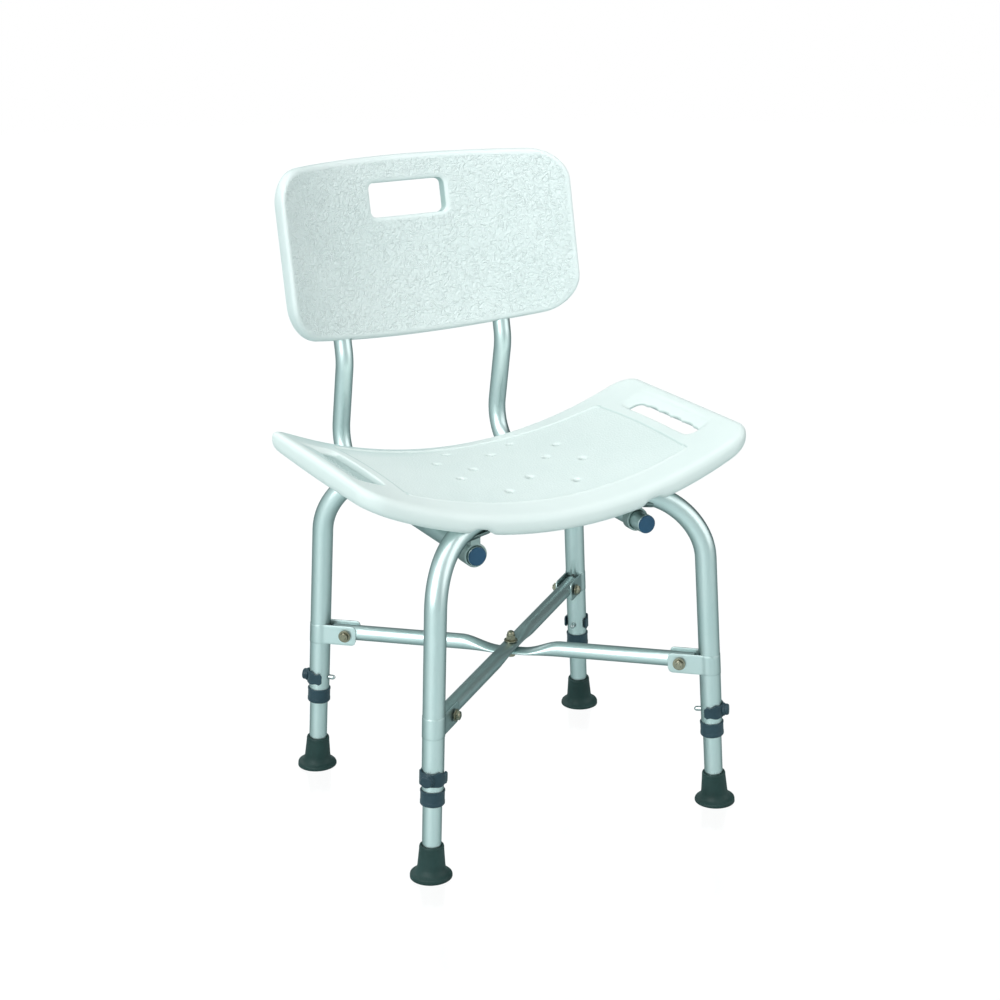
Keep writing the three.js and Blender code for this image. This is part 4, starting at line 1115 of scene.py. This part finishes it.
def saddle(corner, sx, sy):
    place = saddle_place(sx, sy)
    half, wall, tab_z, lip_z = 14.0, 2.6, -3.6, -8.0
    loop_y, loop_half = LEFT_LOOP if sx < 0 else RIGHT_LOOP
    loop_y *= sy
    outer = TUBE_R + GAP + wall
    along, up = place[:3, 0], place[:3, 2]
    cradle = rod(outer, place[:3, 3] - along * half, place[:3, 3] + along * half, 48)
    cradle.name = "saddle_" + corner
    lip_side = (-40, 1) if sy < 0 else (-1, 40)
    cut(cradle, block((-40, -40, tab_z), (40, 40, 40), place),
        block((-40, lip_side[0], lip_z), (40, lip_side[1], 40), place))
    y0, y1 = (3, 39) if sy < 0 else (-39, -3)
    tab = block((-11, y0, tab_z - wall), (11, y1, tab_z), place)
    x = sx * BACK_X
    ring = rod(LEG_R + GAP + wall, (x, loop_y - loop_half, BACK_Z), (x, loop_y + loop_half, BACK_Z), 48)
    web = block((x - 6, loop_y - loop_half, BACK_Z), (x + 6, loop_y + loop_half, place[2, 3] - 8))
    fuse(cradle, tab, ring, web)
    route = ROUTES["front" if sy < 0 else "back"]
    near = [p for p in route if abs(p[0] - sx * BACK_X) < 60]
    cut(
        cradle,
        rod(LEG_R + GAP, (x, loop_y - 40, BACK_Z), (x, loop_y + 40, BACK_Z), 48),
        swept("tool", near, TUBE_R + GAP, 0, 48),
    )
    remesh(cradle, 0.6, 3)
    finish_piece(cradle, "chair", "saddle_bracket_" + corner, SADDLE_METAL, 50)
    under = tab_z - wall - 0.1
    screw_at = place @ np.array([[1, 0, 0, 0], [0, 1, 0, -sy * 30], [0, 0, 1, 0], [0, 0, 0, 1]], float)
    profile = [(0, -2.9), (2.6, -2.8), (4.2, -1.9), (4.8, -0.4), (4.8, 0), (2.5, 0), (2.5, 17), (0, 18)]
    screw = turned("seat_screw_" + corner + "_fine", [(r, under + z) for r, z in profile], screw_at, 32, 0.3)
    for matrix in CROSSED:
        cut(screw, block((-2.6, -0.45, under - 4), (2.6, 0.45, under - 1.4), screw_at @ matrix))
    finish_piece(screw, "chair", "seat_screw_" + corner, STEEL)


for corner, sx, sy in CORNERS:
    saddle(corner, sx, sy)

# ---------------- backrest tubes, caps and screws


def back_screw_place(sx):
    route = back_route(sx)
    along = unit(route[-1] - route[-2])
    out = -np.cross((1, 0, 0), along)
    return frame_at(route[-1] - along * BACK_SCREW_DROP, (1, 0, 0), out)


for side, sx in SIDES:
    tube = swept("back_tube_" + side + "_fine", back_route(sx), LEG_R, LEG_R - WALL)
    place = back_screw_place(sx)
    cut(tube, rod(2.4, place[:3, 3], place[:3, 3] + 20 * place[:3, 2]))
    finish_piece(tube, "backrest", "back_tube_" + side, ALUMINIUM)
    cap_at = frame_at((sx * BACK_X, BACK_FRONT, BACK_Z), (1, 0, 0), (0, 1, 0))
    inside = LEG_R - WALL - 0.2
    profile = [
        (0, -3), (9.2, -3), (10.6, -2.3), (10.9, -1.2), (10.9, -0.2), (inside, -0.2), (inside, 3), (0, 3)]
    cap = turned("tube_cap_" + side + "_fine", profile, cap_at, 56, 0.5)
    finish_piece(cap, "backrest", "tube_cap_" + side, CAP_BLUE)
    head = LEG_R + 3.4
    profile = [(0, -3), (2.2, -2.8), (2.2, head), (4.4, head), (4.3, head + 1.4), (2.6, head + 2.3),
               (0, head + 2.4)]
    screw = turned("backrest_screw_" + side + "_fine", profile, place, 32, 0.3)
    for matrix in CROSSED:
        cut(screw, block((-2.4, -0.4, head + 1), (2.4, 0.4, head + 4), place @ matrix))
    finish_piece(screw, "backrest", "backrest_screw_" + side, STEEL)

# ---------------- studio

AZIMUTH, ELEVATION, ROLL = (math.radians(a) for a in (-28.13, 18.40, -0.41))
DISTANCE = 2374.5
TARGET = np.array((2.13, 0, 373.45))
SENSOR, LENS, SHIFT = 36.0, 71.7408, (-0.0114, -0.0028)

right = np.array((math.cos(AZIMUTH), math.sin(AZIMUTH), 0))
ahead = np.array((-math.sin(AZIMUTH), math.cos(AZIMUTH), 0))
back = -ahead * math.cos(ELEVATION) + np.array((0, 0, math.sin(ELEVATION)))
above = np.cross(back, right)
right_rolled = right * math.cos(ROLL) + above * math.sin(ROLL)
above_rolled = above * math.cos(ROLL) - right * math.sin(ROLL)
lens = bpy.data.cameras.new("camera")
lens.sensor_width, lens.lens = SENSOR, LENS
lens.shift_x, lens.shift_y = SHIFT
lens.clip_end = 100
camera = bpy.data.objects.new("camera", lens)
bpy.context.scene.collection.objects.link(camera)
turn = Matrix((right_rolled, above_rolled, back)).transposed().to_4x4()
eye = (TARGET + back * DISTANCE) * MM + np.array(MIDDLE)
camera.matrix_world = Matrix.Translation(Vector(eye)) @ turn
bpy.context.scene.camera = camera


def area_light(name, place, aim, size, power):
    data = bpy.data.lights.new(name, "AREA")
    data.shape = "RECTANGLE"
    data.size, data.size_y = size
    data.energy = power
    light = bpy.data.objects.new(name, data)
    bpy.context.scene.collection.objects.link(light)
    light.location = place
    light.rotation_euler = (Vector(aim) - Vector(place)).to_track_quat("-Z", "Y").to_euler()


area_light("key", (-2.7, -1.5, 2.0), (0, 0, 0.35), (2.2, 2.6), 56)
area_light("top", (-0.2, -0.2, 3.2), (0, 0, 0.4), (2.4, 2.4), 28)
area_light("fill", (2.8, -2.3, 1.7), (0, 0, 0.4), (4.0, 3.0), 44)
area_light("rear", (-0.8, 3.0, 2.0), (0, 0, 0.5), (2.0, 1.4), 14)

# The room seen in reflections is lighter on the left; the camera itself sees a white backdrop.
world = bpy.data.worlds.new("studio")
bpy.context.scene.world = world
room = Tree(world)
backdrop = room.tree.nodes["Background"]
backdrop.inputs["Color"].default_value = (1, 1, 1, 1)
surround = room.add("ShaderNodeBackground")
surround.inputs["Color"].default_value = (0.74, 0.90, 0.90, 1)
axes = room.add("ShaderNodeSeparateXYZ")
room.link(room.add("ShaderNodeTexCoord").outputs["Generated"], axes.inputs["Vector"])
fade = room.add("ShaderNodeMapRange")
for socket, value in zip(("From Min", "From Max", "To Min", "To Max"), (-0.7, 0.8, 0.80, 0.24)):
    fade.inputs[socket].default_value = value
room.link(axes.outputs["X"], fade.inputs["Value"])
room.link(fade.outputs["Result"], surround.inputs["Strength"])
room.for_camera(backdrop.outputs["Background"], surround.outputs["Background"], "World Output")

# A white sweep: burnt out for the camera but for faint reflections of the feet, pale grey for the chair.
sweep = Nodes("floor")
sweep.set(Base_Color=(0.50, 0.58, 0.58, 1), Roughness=0.6)
glow = sweep.add("ShaderNodeEmission")
glow.inputs["Strength"].default_value = 1.36
gloss = sweep.add("ShaderNodeBsdfGlossy")
gloss.inputs["Roughness"].default_value = 0.16
white = sweep.add("ShaderNodeMixShader")
white.inputs["Fac"].default_value = 0.30
sweep.link(glow.outputs["Emission"], white.inputs[1])
sweep.link(gloss.outputs["BSDF"], white.inputs[2])
sweep.for_camera(white.outputs["Shader"], sweep.shader.outputs["BSDF"], "Material Output")
floor_data = bpy.data.meshes.new("floor")
floor_data.from_pydata([(x, y, 0) for x, y in circle(6.0, 96)], [], [tuple(range(96))])
floor_data.materials.append(sweep.material)
floor = bpy.data.objects.new("floor", floor_data)
bpy.context.scene.collection.objects.link(floor)

bpy.context.scene.view_settings.view_transform = "Standard"
